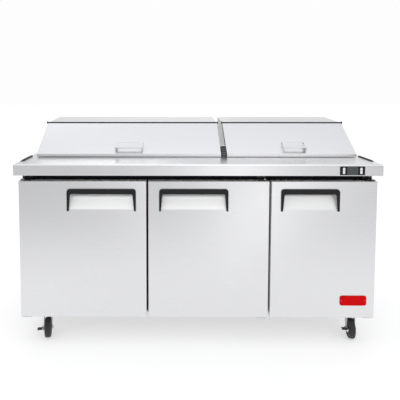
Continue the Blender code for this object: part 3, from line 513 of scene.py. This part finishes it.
def screw(form, place, out, radius=0.0040, height=0.0024):
    """A pan-head screw with a cross recess."""
    at = facing(place, out)
    outside = ((1.0, 0.0), (1.0, 0.35), (0.92, 0.75), (0.74, 1.0))
    rows = stack(form, [circle(radius * r, height * h, 24) for r, h in outside], at, caps=False)
    form.faces.new(rows[0])
    arm, half = RECESS_ARM * radius, RECESS_HALF * radius
    cross = [(half, half), (half, arm), (-half, arm), (-half, half), (-arm, half), (-arm, -half)]
    cross += [(-x, -y) for x, y in cross]
    sunk = [[(x * k, y * k, height * h) for x, y in cross] for k, h in ((1.0, 1.0), (0.8, 0.45))]
    recess = stack(form, sunk, at, caps=False)
    form.faces.new(recess[1])
    rims = []
    for ring in (rows[-1], recess[0]):
        rims += [form.edges.get((ring[i - 1], corner)) for i, corner in enumerate(ring)]
    bmesh.ops.triangle_fill(form, edges=rims, use_beauty=True)


def rivet(form, place, out, radius=0.0035, height=0.0020):
    dome = ((1.0, 0.0), (0.98, 0.30), (0.84, 0.68), (0.55, 0.92), (0.20, 1.0))
    lathe(form, [(radius * r, height * h) for r, h in dome], facing(place, out), 20)


def nut(form, place, out, across=0.013, height=0.006):
    """A hexagon head on a flange."""
    at = facing(place, out)
    flange = ((0.64, 0.0), (0.64, 0.12), (0.56, 0.24))
    head = ((0.56, 0.20), (0.56, 0.86), (0.50, 1.0))
    lathe(form, [(across * r, height * h) for r, h in flange], at, 24)
    stack(form, [circle(across * r, height * h, 6) for r, h in head], at)


def piece(name, form, look, body, width=0.0003):
    """Makes a drawn form a piece that rides on a body."""
    bmesh.ops.recalc_face_normals(form, faces=form.faces)
    mesh = bpy.data.meshes.new(name)
    form.to_mesh(mesh)
    form.free()
    mesh.shade_smooth()
    mesh.materials.append(LOOKS[look])
    made = bpy.data.objects.new(name, mesh)
    bpy.context.scene.collection.objects.link(made)
    round_edges(made, width)
    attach(made, body)
    return made


# ---------------------------------------------------------------- lids

HAIR = 0.0001  # between faces that would otherwise coincide
FLAP_LIP = 0.014  # height of a flap's upright front edge
EDGING_NEAR, EDGING_FAR, EDGING_THICK = 0.0134, 0.0186, 0.0012
EDGING_START, EDGING_END = 0.004, 0.006  # in from the foot and the head of the slope
STOP_UP, STOP_INSET, STOP_RADIUS, STOP_HEIGHT = 0.0925, 0.003, 0.0036, 0.0040  # up the slope
LID_HINGE_INSET, LEAF, LEAF_HALF, LEAF_TALL = 0.13, 0.0010, 0.028, 0.027
LEAF_LIFT, SEAT_UNDER, SEAT_OVER = 0.002, 0.0024, 0.0013  # up and down from the axis
# Knuckles and the rod's end knobs turn about an axis: radius, and distance along it.
KNUCKLE = 0.0023
KNUCKLE_FIXED = ((0.0018, -0.0093), (KNUCKLE, -0.0088), (KNUCKLE, 0.0088), (0.0018, 0.0093))
KNUCKLE_MOVING = ((0.0016, 0.0095), (KNUCKLE, 0.0099), (KNUCKLE, 0.0275), (0.0018, 0.0280))
LEAF_SCREW_X, LEAF_SCREW_UP, SEAT_SCREW_DOWN = 0.017, 0.016, 0.017
LEAF_SCREW = (0.0034, 0.0018)  # radius and height, as for each screw and rivet below
KNOB = ((0.0042, 0.0013), (0.0042, 0.0022), (0.0072, 0.0024), (0.0074, 0.0060), (0.0060, 0.0078))
# The divider's ribs: distance back and up from its lower front edge.
RIBS = ((0.0, 0.004), (0.002, 0.014), (0.014, 0.022), (0.027, 0.031), (0.038, 0.0395))
RIB_RADIUS, RIB_INSET = 0.0026, 0.002


def slope_frame(side):
    """Where a flap's slope starts, in (y, z), with its way up the slope and its way in."""
    low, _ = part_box(f"flap_{side}")
    _, hinge_y, hinge_z = JOINTS[f"flap_{side}_hinge"]["pos_m"]
    foot = Vector((low.y, low.z + FLAP_LIP))
    slope = Vector((hinge_y, hinge_z)) - foot
    rise = slope.normalized()
    return foot, rise, Vector((rise.y, -rise.x)), slope.length


def make_rod_knobs(side):
    low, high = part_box(f"hinge_strip_{side}")
    middle = (low + high) / 2
    form = bmesh.new()
    for end, way in ((low.x, -1), (high.x, 1)):
        lathe(form, KNOB, facing((end, middle.y, middle.z), (way, 0, 0)), 28)
    piece(f"rod_knobs_{side}", form, "black_plastic", f"hood_{side}")


def make_cheek_edging(side):
    """A thin black strip down the front edge of each of a hood's cheeks."""
    low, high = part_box(f"hood_{side}")
    foot, rise, inward, length = slope_frame(side)
    start, end = EDGING_START, length - EDGING_END
    ends = ((start, EDGING_NEAR), (start, EDGING_FAR), (end, EDGING_FAR), (end, EDGING_NEAR))
    outline = [tuple(foot + rise * along + inward * depth) for along, depth in ends]
    form = bmesh.new()
    for x in (low.x - EDGING_THICK, high.x):
        plate(form, outline, x, x + EDGING_THICK)
    piece(f"cheek_edging_{side}", form, "black_plastic", f"hood_{side}")


def make_handle_stops(side):
    """Small black bumpers on the flap, at the upper feet of its handle."""
    low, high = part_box(f"flap_handle_{side}")
    foot, rise, inward, _ = slope_frame(side)
    y, z = foot + rise * STOP_UP
    form = bmesh.new()
    for x in (low.x + STOP_INSET, high.x - STOP_INSET):
        rivet(form, (x, y, z), (0.0, -inward.x, -inward.y), STOP_RADIUS, STOP_HEIGHT)
    piece(f"handle_stops_{side}", form, "grey_plastic", f"flap_{side}")


def make_lid_hinges(side):
    """Two butt hinges behind a lid: one leaf on the hood's back, one over the worktop's edge."""
    low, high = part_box(f"hood_{side}")
    _, axis_y, axis_z = JOINTS[f"hood_{side}_tilt"]["pos_m"]
    leaf_y = high.y + HAIR
    back_y, edge_y = leaf_y + LEAF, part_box("worktop")[1].y + 2 * HAIR
    under, over, foot = axis_z - SEAT_UNDER, axis_z - SEAT_OVER, axis_z - LEAF_TALL
    bent = [(axis_y, under), (edge_y, under), (edge_y, foot)]
    bent += [(edge_y + LEAF, foot), (edge_y + LEAF, over), (axis_y, over)]
    moving, fixed = bmesh.new(), bmesh.new()
    for x in (low.x + LID_HINGE_INSET, high.x - LID_HINGE_INSET):
        left, right, barrel = x - LEAF_HALF, x + LEAF_HALF, facing((x, axis_y, axis_z), (1, 0, 0))
        slab(moving, (left, leaf_y, axis_z + LEAF_LIFT), (right, back_y, axis_z + LEAF_TALL))
        plate(fixed, bent, left, right)
        lathe(fixed, KNUCKLE_FIXED, barrel, 20)
        for way in (-1, 1):
            screw_x = x + way * LEAF_SCREW_X
            lathe(moving, [(radius, way * along) for radius, along in KNUCKLE_MOVING], barrel, 20)
            screw(moving, (screw_x, back_y, axis_z + LEAF_SCREW_UP), (0, 1, 0), *LEAF_SCREW)
            screw(fixed, (screw_x, edge_y + LEAF, axis_z - SEAT_SCREW_DOWN), (0, 1, 0), *LEAF_SCREW)
    piece(f"lid_hinge_leaves_{side}", moving, "screw", f"hood_{side}")
    piece(f"lid_hinge_seats_{side}", fixed, "screw", "cabinet")


def make_divider_ribs():
    low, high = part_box("lid_divider")
    form = bmesh.new()
    for back, up in RIBS:
        y, z = low.y + back, low.z + up
        tube(form, [(low.x + RIB_INSET, y, z), (high.x - RIB_INSET, y, z)], RIB_RADIUS)
    piece("lid_divider_ribs", form, "grey_plastic", "cabinet")


for lid_side in SIDES:
    make_rod_knobs(lid_side)
    make_cheek_edging(lid_side)
    make_handle_stops(lid_side)
    make_lid_hinges(lid_side)
make_divider_ribs()

# ---------------------------------------------------------------- doors

# The gasket's bellows: distance in from its outer edge, and height off the door.
BELLOWS = (
    (0.0030, 0.0000), (0.0130, 0.0000), (0.0118, 0.0022), (0.0140, 0.0040),
    (0.0156, 0.0062), (0.0156, 0.0090), (0.0142, 0.0099), (0.0018, 0.0099),
    (0.0004, 0.0090), (0.0004, 0.0062), (0.0020, 0.0040), (0.0042, 0.0022),
)
BELLOWS_CORNER = 0.020
# The door liner's raised moulding, likewise.
MOULDING = (
    (0.0, 0.0001), (0.0015, 0.0070), (0.0050, 0.0110), (0.0280, 0.0115), (0.0330, 0.0085),
    (0.0370, 0.0020),
)
MOULDING_INSET, MOULDING_CORNER = 0.049, 0.045
BUSH = ((0.0056, 0.0), (0.0098, 0.0), (0.0098, 0.0016), (0.0086, 0.0021), (0.0056, 0.0021))
BUSH_OFF = 0.0002  # a bush's seat, out from the door's end
# Each hinge bracket: its sheet, its screws' height, and which way its pin's end points.
BRACKETS = {"top": (0.0025, 0.0315, 1), "bottom": (0.0020, 0.0145, -1)}
PIN_TOP = 0.0218  # height of the upper pin's end over its bracket's foot
BRACKET_SCREW_INSET, BRACKET_SCREW, PIN_NUT = 0.010, (0.0036, 0.0019), (0.011, 0.0045)
SHELF_BARS = (-0.16, -0.02, 0.12)  # y of the cross bars
SHELF_EDGE, SHELF_CORNER, SHELF_PITCH = 0.003, 0.014, 0.022
SHELF_FRAME, SHELF_BAR, SHELF_WIRE = 0.0029, 0.0022, 0.0016  # radii
SHELF_BAR_INSET, SHELF_BAR_DOWN, SHELF_WIRE_UP = 0.004, 0.0006, 0.0012


def framed(low, high, inset, depth, radius):
    return rounded(low.x + inset, high.x - inset, low.z + inset, high.z - inset, radius, depth)


def make_gasket(number):
    """A bellows gasket, mitred round the door in one closed ring."""
    low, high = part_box(f"door_{number}_gasket")
    form = bmesh.new()
    rings = [framed(low, high, inset, low.y + up, BELLOWS_CORNER - inset) for inset, up in BELLOWS]
    stack(form, rings, closed=True)
    name = f"door_{number}_gasket_bellows"
    made = piece(name, form, "gasket_rubber", f"door_{number}")
    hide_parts(f"door_{number}_gasket")


def make_moulding(number):
    low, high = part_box(f"door_{number}_liner")
    form = bmesh.new()
    stack(form, [
        framed(low, high, MOULDING_INSET + inset, high.y + up, MOULDING_CORNER - inset)
        for inset, up in MOULDING
    ])
    piece(f"door_{number}_liner_moulding", form, "door_liner", f"door_{number}", 0.001)


def make_door_hardware(number):
    """Bushes where the door turns on its pins, and the fixed brackets' screws and pin nuts."""
    x, y, _ = JOINTS[f"door_{number}_hinge"]["pos_m"]
    low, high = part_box(f"door_{number}_panel")
    form = bmesh.new()
    lathe(form, BUSH, facing((x, y, high.z + BUSH_OFF), (0, 0, 1)), 28, closed=True)
    lathe(form, BUSH, facing((x, y, low.z - BUSH_OFF), (0, 0, -1)), 28, closed=True)
    piece(f"door_{number}_bushes", form, "grey_plastic", f"door_{number}")
    form = bmesh.new()
    for place, (sheet, screw_z, way) in BRACKETS.items():
        low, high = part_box(f"hinge_{place}_{number}")
        for screw_x in (low.x + BRACKET_SCREW_INSET, high.x - BRACKET_SCREW_INSET):
            screw(form, (screw_x, high.y - sheet, low.z + screw_z), (0, -1, 0), *BRACKET_SCREW)
        end = low.z + (PIN_TOP if place == "top" else 0.0)
        nut(form, (x, y, end), (0, 0, way), *PIN_NUT)
    piece(f"hinge_screws_{number}", form, "screw", "cabinet")


def make_shelf(number):
    """A shelf of round wires welded across a bent frame."""
    low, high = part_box(f"shelf_{number}")
    left, right, level = low.x + SHELF_EDGE, high.x - SHELF_EDGE, (low.z + high.z) / 2
    front, back = low.y + SHELF_EDGE, high.y - SHELF_EDGE
    form = bmesh.new()
    frame_rod = [(x, y, level) for x, _, y in rounded(left, right, front, back, SHELF_CORNER, 0.0)]
    tube(form, frame_rod, SHELF_FRAME, sides=12, closed=True)
    z = level - SHELF_BAR_DOWN
    for y in SHELF_BARS:
        tube(form, [(low.x + SHELF_BAR_INSET, y, z), (high.x - SHELF_BAR_INSET, y, z)], SHELF_BAR)
    z = level + SHELF_WIRE_UP
    wires = round((high.x - low.x) / SHELF_PITCH)
    for i in range(1, wires):
        x = low.x + (high.x - low.x) * i / wires
        tube(form, [(x, front, z), (x, back, z)], SHELF_WIRE)
    made = piece(f"shelf_{number}_wires", form, "wire", "cabinet")
    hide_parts(f"shelf_{number}")


for door_number in DOORS:
    make_gasket(door_number)
    make_moulding(door_number)
    make_door_hardware(door_number)
    make_shelf(door_number)

# ---------------------------------------------------------------- front panel


# The display's rim: distance in from its outer edge, and depth from the bezel's face.
RIM = (
    (0.0, 0.0002), (0.0, -0.0004), (0.0004, -0.0007), (0.0012, -0.0007), (0.0016, -0.0004),
    (0.0016, 0.0002),
)
RIM_OUTSET, RIM_CORNER = 0.0018, 0.002
ARROW = ((-0.0030, -0.0022), (0.0030, -0.0022), (0.0, 0.0028))
ARROW_SUNK, ARROW_PROUD = 0.0001, 0.0003  # behind and ahead of the button's face
PLATE_RIVET_INSET, PLATE_RIVET = 0.008, (0.0018, 0.0010)


def make_display_rim():
    low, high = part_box("controller_display")
    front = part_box("controller_bezel")[0].y
    form = bmesh.new()
    rings = [framed(low, high, inset - RIM_OUTSET, front + depth, RIM_CORNER) for inset, depth in RIM]
    stack(form, rings, closed=True)
    piece("display_rim", form, "grey_plastic", "cabinet", 0.0001)


def make_button_mark(side, way):
    """A small raised arrowhead, up on one button and down on the other."""
    low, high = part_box(f"button_{side}")
    x, z = (low.x + high.x) / 2, (low.z + high.z) / 2
    form = bmesh.new()
    depths = (low.y + ARROW_SUNK, low.y - ARROW_PROUD)
    stack(form, [[(x + u, y, z + v * way) for u, v in ARROW] for y in depths])
    piece(f"button_mark_{side}", form, "grey_plastic", f"button_{side}", 0.0001)


def make_plate_rivets():
    low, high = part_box("nameplate")
    form = bmesh.new()
    for x in (low.x + PLATE_RIVET_INSET, high.x - PLATE_RIVET_INSET):
        rivet(form, (x, low.y, (low.z + high.z) / 2), (0, -1, 0), *PLATE_RIVET)
    piece("nameplate_rivets", form, "screw", "door_3")


make_display_rim()
make_button_mark("left", 1)
make_button_mark("right", -1)
make_plate_rivets()

# ---------------------------------------------------------------- castors

# Half profiles about the axle: radius, and distance from the wheel's middle.
TYRE = (
    (0.0508, 0.0), (0.0507, 0.0030), (0.0494, 0.0036), (0.0494, 0.0050), (0.0505, 0.0056),
    (0.0500, 0.0100), (0.0478, 0.0138), (0.0432, 0.0158), (0.0388, 0.0158), (0.0370, 0.0148),
)
HUB = (
    (0.0370, 0.0146), (0.0352, 0.0150), (0.0338, 0.0112), (0.0182, 0.0086),
    (0.0156, 0.0140), (0.0140, 0.0168), (0.0068, 0.0168),
)
SPOKES, SPOKE_HALF = 6, 0.0016
SPOKE_INNER, SPOKE_OUTER, SPOKE_LOW, SPOKE_HIGH = 0.0160, 0.0350, 0.0080, 0.0128
COLLAR = (
    (0.0290, 0.0), (0.0325, 0.0), (0.0342, 0.0025), (0.0342, 0.0065),
    (0.0325, 0.0090), (0.0290, 0.0090),
)
COLLAR_DOWN = 0.0112  # its foot, below the fork's top
BRAKED = ("front_left", "front_right")
PAD_BOLTS_X, PAD_BOLTS_Y, PAD_BOLT = (-0.040, 0.040), (-0.025, 0.025), (0.010, 0.0048)
# The brake's rubber pad and the ribs on it, along the axle, back from it, and up.
PEDAL_LOW, PEDAL_HIGH = (0.0262, 0.0175, 0.0101), (0.0512, 0.0422, 0.0122)
RIDGES, RIDGE_FIRST, RIDGE_PITCH, RIDGE_WIDE = 4, 0.0200, 0.0060, 0.0026
RIDGE_LEFT, RIDGE_RIGHT, RIDGE_FOOT, RIDGE_TOP = 0.0275, 0.0500, 0.0120, 0.0134
FORK_FACE, LEVER_FACE = 0.0216, 0.0257  # from the wheel's middle, along its axle


def make_wheel(name):
    """A tyre with a grooved crown on a ribbed hub."""
    roll = JOINTS[f"wheel_{name}_roll"]
    at = facing(roll["pos_m"], roll["axis"])
    form = bmesh.new()
    lathe(form, mirrored(TYRE), at, 72, closed=True)
    tyre = piece(f"tyre_{name}", form, "wheel_rubber", f"wheel_{name}", 0.0005)
    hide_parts(f"caster_wheel_{name}")
    form = bmesh.new()
    lathe(form, mirrored(HUB), at, 60, closed=True)
    for i in range(SPOKES):
        spoke = at @ Matrix.Rotation(math.tau * i / SPOKES, 4, "Z")
        for face in (-1, 1):
            low, high = sorted((face * SPOKE_LOW, face * SPOKE_HIGH))
            slab(form, (SPOKE_INNER, -SPOKE_HALF, low), (SPOKE_OUTER, SPOKE_HALF, high), spoke)
    piece(f"hub_{name}", form, "hub", f"wheel_{name}", 0.0005)


def make_caster_hardware(name):
    """Pad bolts, the ball race's collar and the axle's nuts."""
    x, y, _ = JOINTS[f"caster_{name}_swivel"]["pos_m"]
    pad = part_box("base_pan")[0].z
    form = bmesh.new()
    for way_x in PAD_BOLTS_X:
        for way_y in PAD_BOLTS_Y:
            nut(form, (x + way_x, y + way_y, pad), (0, 0, -1), *PAD_BOLT)
    piece(f"pad_bolts_{name}", form, "screw", "cabinet")
    roll = JOINTS[f"wheel_{name}_roll"]
    place, axle = Vector(roll["pos_m"]), Vector(roll["axis"])
    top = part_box(f"caster_fork_{name}")[1].z
    form = bmesh.new()
    lathe(form, COLLAR, facing((x, y, top - COLLAR_DOWN), (0, 0, 1)), 48, closed=True)
    nut(form, place + axle * (LEVER_FACE if name in BRAKED else FORK_FACE), axle)
    nut(form, place - axle * FORK_FACE, -axle)
    piece(f"caster_hardware_{name}", form, "dark_steel", f"caster_{name}")


def make_brake_pad(name):
    """A ribbed rubber pad on the brake's pedal."""
    roll = JOINTS[f"wheel_{name}_roll"]
    place, axle = Vector(roll["pos_m"]), Vector(roll["axis"])
    turned = Matrix((axle, Vector((0, 0, 1)).cross(axle), (0, 0, 1))).transposed()
    at = Matrix.Translation(place) @ turned.to_4x4()
    form = bmesh.new()
    slab(form, PEDAL_LOW, PEDAL_HIGH, at)
    for i in range(RIDGES):
        back = RIDGE_FIRST + i * RIDGE_PITCH
        slab(form, (RIDGE_LEFT, back, RIDGE_FOOT), (RIDGE_RIGHT, back + RIDGE_WIDE, RIDGE_TOP), at)
    piece(f"brake_pad_{name}", form, "hub", f"brake_{name}", 0.0004)


for caster_name in CASTERS:
    make_wheel(caster_name)
    make_caster_hardware(caster_name)
for caster_name in BRAKED:
    make_brake_pad(caster_name)

# ---------------------------------------------------------------- back and machine compartment

GLAND = (0.760, 0.215)  # x and z of the cord's gland
GLAND_NUT = (
    (0.0057, 0.0), (0.0128, 0.0), (0.0128, 0.0030), (0.0104, 0.0054),
    (0.0072, 0.0062), (0.0057, 0.0056),
)
LOUVRE_COLUMNS, LOUVRE_ROWS = (-0.585, -0.285, 0.015, 0.315), 9
LOUVRE_WIDTH, LOUVRE_FIRST, LOUVRE_PITCH = 0.270, 0.022, 0.0275
LOUVRE_OUTSIDE, LOUVRE_INSIDE = (0.0062, 0.0145), (0.0052, 0.0133)  # out and up
LOUVRE_FOOT, LOUVRE_CHEEK, LOUVRE_STEPS = 0.0015, 0.0012, 6
GRILLE_SCREWS_X = (-0.599, -0.300, 0.0, 0.300, 0.599)
GRILLE_SCREWS_Z = (0.010, 0.012)  # in from the grille's foot and its head
SEAM_RIVETS, SEAM_RIVET_X, SEAM_RIVET_Z, SEAM_PITCH = 6, 0.012, 0.045, 0.125


def make_louvres():
    """A pressed hood over each slot of the rear grille."""
    low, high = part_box("rear_grille")
    turns = [math.radians(90 * i / LOUVRE_STEPS) for i in range(LOUVRE_STEPS + 1)]
    (shell_out, shell_up), (bore_out, bore_up) = LOUVRE_OUTSIDE, LOUVRE_INSIDE
    shell = [(shell_out * math.sin(t), LOUVRE_FOOT + shell_up * math.cos(t)) for t in turns]
    bore = [(bore_out * math.sin(t), LOUVRE_FOOT + bore_up * math.cos(t)) for t in reversed(turns)]
    form = bmesh.new()
    for column in LOUVRE_COLUMNS:
        for row in range(LOUVRE_ROWS):
            y, z = high.y + HAIR, low.z + LOUVRE_FIRST + row * LOUVRE_PITCH
            left, right = column, column + LOUVRE_WIDTH
            plate(form, [(y + u, z + v) for u, v in shell + bore], left, right)
            cheek = [(y + u, z + v) for u, v in shell + [(0.0, LOUVRE_FOOT)]]
            plate(form, cheek, left - LOUVRE_CHEEK, left - HAIR)
            plate(form, cheek, right + HAIR, right + LOUVRE_CHEEK)
    piece("grille_louvres", form, "dark_steel", "cabinet")


def make_back_fixings():
    """Screws round the grille, rivets down the casing's seams and the cord gland's nut."""
    low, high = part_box("rear_grille")
    form = bmesh.new()
    for x in GRILLE_SCREWS_X:
        for z in (low.z + GRILLE_SCREWS_Z[0], high.z - GRILLE_SCREWS_Z[1]):
            screw(form, (x, high.y, z), (0, 1, 0))
    piece("grille_screws", form, "screw", "cabinet")
    low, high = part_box("outer_casing")
    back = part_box("base_pan")[1].y
    form = bmesh.new()
    for x in (low.x + SEAM_RIVET_X, high.x - SEAM_RIVET_X):
        for i in range(SEAM_RIVETS):
            rivet(form, (x, back, low.z + SEAM_RIVET_Z + i * SEAM_PITCH), (0, 1, 0))
    piece("casing_rivets", form, "screw", "cabinet")
    form = bmesh.new()
    lathe(form, GLAND_NUT, facing((GLAND[0], high.y + HAIR, GLAND[1]), (0, 1, 0)), 12, closed=True)
    piece("cord_gland_nut", form, "black_plastic", "cabinet", 0.0006)


def bend(centre, radius, start, end, steps=8):
    """Points round a bend in the XZ plane, with its angles in degrees."""
    x, y, z = centre
    turns = [math.radians(start + (end - start) * i / steps) for i in range(steps + 1)]
    return [(x + radius * math.cos(t), y, z + radius * math.sin(t)) for t in turns]


COIL_LEFT, COIL_RIGHT, COIL_Y = -0.440, -0.205, 0.3585
COIL_FOOT, COIL_PITCH, COIL_ROWS = 0.170, 0.032, 8
COIL_PIPE, DISCHARGE_PIPE, SUCTION_PIPE = 0.0035, 0.0040, 0.0052  # radii
PIPE_BEND = 0.03
SHELL_X, SHELL_Y, SHELL_TOP = 0.04, 0.279, 0.300  # top of the compressor
DISCHARGE_Z, DISCHARGE_END = 0.375, -0.17
SUCTION_FROM, SUCTION_X, SUCTION_Y, SUCTION_Z, SUCTION_TOP = 0.092, 0.125, 0.300, 0.215, 0.440
COVER = ((-0.022, 0.336, 0.200), (0.102, 0.352, 0.262))
COVER_LID = ((0.010, 0.350, 0.215), (0.070, 0.3545, 0.247))


def make_coil():
    """The condenser's serpentine pipe behind the grille."""
    path = []
    for row in range(COIL_ROWS):
        z = COIL_FOOT + row * COIL_PITCH
        near, far, start = COIL_LEFT, COIL_RIGHT, -90
        if row % 2:
            near, far, start = COIL_RIGHT, COIL_LEFT, 270
        path.append((near, COIL_Y, z))
        if row < COIL_ROWS - 1:
            path += bend((far, COIL_Y, z + COIL_PITCH / 2), COIL_PITCH / 2, start, 90)
        else:
            path.append((far, COIL_Y, z))
    form = bmesh.new()
    tube(form, path, COIL_PIPE, hint=(0, 1, 0), sides=12)
    piece("condenser_pipe", form, "copper", "cabinet")


def make_compressor_fittings():
    """The compressor's discharge and suction pipes, and the cover of its terminals."""
    form = bmesh.new()
    path = [(SHELL_X, SHELL_Y, SHELL_TOP), (SHELL_X, SHELL_Y, DISCHARGE_Z - PIPE_BEND)]
    path += bend((SHELL_X - PIPE_BEND, SHELL_Y, DISCHARGE_Z), PIPE_BEND, 0, 90)
    path.append((DISCHARGE_END, SHELL_Y, DISCHARGE_Z + PIPE_BEND))
    tube(form, path, DISCHARGE_PIPE, hint=(0, 1, 0), sides=12)
    path = [(SUCTION_FROM, SUCTION_Y, SUCTION_Z), (SUCTION_X, SUCTION_Y, SUCTION_Z)]
    path += bend((SUCTION_X, SUCTION_Y, SUCTION_Z + PIPE_BEND), PIPE_BEND, -90, 0)
    path.append((SUCTION_X + PIPE_BEND, SUCTION_Y, SUCTION_TOP))
    tube(form, path, SUCTION_PIPE, hint=(0, 1, 0), sides=12)
    piece("compressor_pipes", form, "copper", "cabinet")
    form = bmesh.new()
    slab(form, *COVER)
    slab(form, *COVER_LID)
    piece("compressor_terminal_cover", form, "machine_black", "cabinet", 0.002)


make_louvres()
make_back_fixings()
make_coil()
make_compressor_fittings()

# ---------------------------------------------------------------- floor and light


# Brightness round the table at the height of the horizon, by direction: 0.5 is straight ahead
# of the doors, 0 and 1 straight behind. One soft bright band stands a little to the right.
ROOM_BAND = (
    (0.00, 0.82),
    (0.07, 0.68),
    (0.14, 0.50),
    (0.30, 0.58),
    (0.43, 0.36),
    (0.495, 0.52),
    (0.529, 1.80),
    (0.562, 0.50),
    (0.66, 0.55),
    (0.86, 0.50),
    (0.93, 0.86),
    (1.00, 0.82),
)
CEILING = (0.94, 0.95, 0.97, 1.0)
CEILING_FADE = ((0.5, 0.0), (0.75, 0.4), (1.0, 1.0))  # by height, as below
# A bright card that leans over the front of the room, by height: 0.5 is the horizon, 1 overhead.
CARD = ((0.64, 0.0), (0.76, 0.85), (0.86, 0.85), (0.93, 0.0))
# A brighter round of ceiling straight above the table, likewise by height.
ZENITH = ((0.925, 0.0), (0.965, 0.12))
ROOM_WHITE = (0.985, 0.985, 0.985, 1.0)  # all that the camera sees of the room
CARD_AHEAD = (-0.2, -0.7)  # the card fades in as the direction's y falls
# The floor's glow: as the camera sees it, and as the steel mirrors it, near and away from
# the table. Between two distances ahead of the doors it turns into a share of the room's band.
FLOOR_SEEN, FLOOR_GLOW, FLOOR_AWAY, FLOOR_BAND = 0.50, 0.585, 0.30, 0.62
FLOOR_NEAR, FLOOR_FAR = 0.9, 3.2
# The paper's shade, in the same three cases: as the steel mirrors it, it is painted darker away from
# the table, a painted reflection.
PAPER_SEEN, PAPER_NEAR, PAPER_AWAY = 0.56, 0.48, 0.22
# Behind the table and beside it the floor darkens between two distances.
ASIDE_FROM, AHEAD_FROM, AHEAD_SLOPE, AWAY_NEAR, AWAY_FAR = 0.54, 0.4, 0.9, 0.45, 1.5
FLOOR_HALF = 30.0


def room_band(g, x, y):
    """The brightness in the direction of (x, y) from the table."""
    azimuth = g.math("ARCTAN2", x, g.math("MULTIPLY", y, -1.0))
    turn = g.math("ADD", g.math("DIVIDE", azimuth, 2 * math.pi), 0.5)
    return g.ramp(turn, ROOM_BAND, "EASE")


def make_floor():
    """White paper that glows a little, so that its shadows stay light. As the steel mirrors
    it, it turns into the room's band far in front of the table, and is dark behind and beside it."""
    mesh = bpy.data.meshes.new("floor")
    corners = [(x * FLOOR_HALF, y * FLOOR_HALF, 0.0) for x, y in ((-1, -1), (1, -1), (1, 1), (-1, 1))]
    mesh.from_pydata(corners, [], [(0, 1, 2, 3)])
    floor = bpy.data.objects.new("floor", mesh)
    bpy.context.scene.collection.objects.link(floor)
    made, g = new_material("floor_paper")
    place = g.place()
    cloud = g.noise(place, 1.5, 3.0)
    x, y, _ = g.add("SeparateXYZ", {0: place}).outputs
    smooth = {"interpolation_type": "SMOOTHSTEP"}
    ahead = g.add("MapRange", {0: y, 1: -FLOOR_NEAR, 2: -FLOOR_FAR}, **smooth).outputs[0]
    band = g.math("MULTIPLY", room_band(g, x, y), FLOOR_BAND)
    reflected = g.mix(ahead, grey(FLOOR_GLOW), band)
    forward = g.math("MINIMUM", g.math("ADD", y, AHEAD_FROM), 0.0)
    forward = g.math("MULTIPLY", forward, AHEAD_SLOPE)
    aside = g.math("ADD", g.math("SUBTRACT", g.math("ABSOLUTE", x), ASIDE_FROM), forward)
    away = g.add("MapRange", {0: g.math("MAXIMUM", aside, y), 1: AWAY_NEAR, 2: AWAY_FAR}).outputs[0]
    reflected = g.mix(away, reflected, grey(FLOOR_AWAY))
    glossy = g.add("LightPath").outputs["Is Glossy Ray"]
    # Painted reflection: glossy rays see a darker paper away from the table.
    paper = g.mix(glossy, grey(PAPER_SEEN), g.mix(away, grey(PAPER_NEAR), grey(PAPER_AWAY)))
    glow = g.mix(glossy, grey(FLOOR_SEEN), reflected)
    g.surface(
        Base_Color=g.mix(1.0, paper, g.tint((1.0, 1.0, 1.0), 0.98, 1.0, cloud), "MULTIPLY"),
        Roughness=0.9,
        Specular_IOR_Level=0.1,
        Emission_Color=glow,
        Emission_Strength=1.0,
    )
    mesh.materials.append(made)


def make_world():
    """A white room, with a soft bright band in front of the table and a brighter ceiling."""
    world = bpy.data.worlds.new("studio")
    world.use_nodes = True
    bpy.context.scene.world = world
    g = Graph(world.node_tree)
    x, y, z = g.add("SeparateXYZ", {0: g.add("TexCoord").outputs["Generated"]}).outputs
    band = room_band(g, x, y)
    height = g.math("ADD", g.math("MULTIPLY", z, 0.5), 0.5)
    room = g.mix(g.ramp(height, CEILING_FADE, "EASE"), band, CEILING)
    ahead = g.add("MapRange", {0: y, 1: CARD_AHEAD[0], 2: CARD_AHEAD[1]}).outputs[0]
    card = g.math("MULTIPLY", g.ramp(height, CARD, "EASE"), ahead)
    room = g.mix(1.0, room, card, "ADD")
    room = g.mix(1.0, room, g.ramp(height, ZENITH, "EASE"), "ADD")
    seen = g.add("LightPath").outputs["Is Camera Ray"]
    sky = g.mix(seen, room, ROOM_WHITE)
    background = g.add("Background", {"Color": sky, "Strength": 1.0})
    g.add("OutputWorld", {"Surface": background.outputs[0]})


# Name, place, target, width and height, watts.
SOFTBOXES = (
    ("overhead", (0.0, -0.6, 3.4), (0.0, 0.0, 0.5), (3.2, 2.2), 6.0),
    ("rim", (-0.6, 2.6, 2.1), (-0.2, 0.0, 0.9), (2.4, 0.9), 1.3),
    ("rear_left", (-1.3, 1.75, 3.3), (-0.6, -0.15, 0.95), (2.0, 1.2), 5.0),
)


def make_softbox(name, place, target, size, power):
    data = bpy.data.lights.new(name, "AREA")
    data.shape, data.size, data.size_y, data.energy = "RECTANGLE", size[0], size[1], power
    light = bpy.data.objects.new(name, data)
    light.visible_camera = False
    light.location = place
    light.rotation_euler = (Vector(target) - Vector(place)).to_track_quat("-Z", "Y").to_euler()
    bpy.context.scene.collection.objects.link(light)


make_floor()
make_world()
for softbox in SOFTBOXES:
    make_softbox(*softbox)
bpy.context.scene.view_settings.view_transform = "Standard"
bpy.context.scene.view_settings.look = "None"
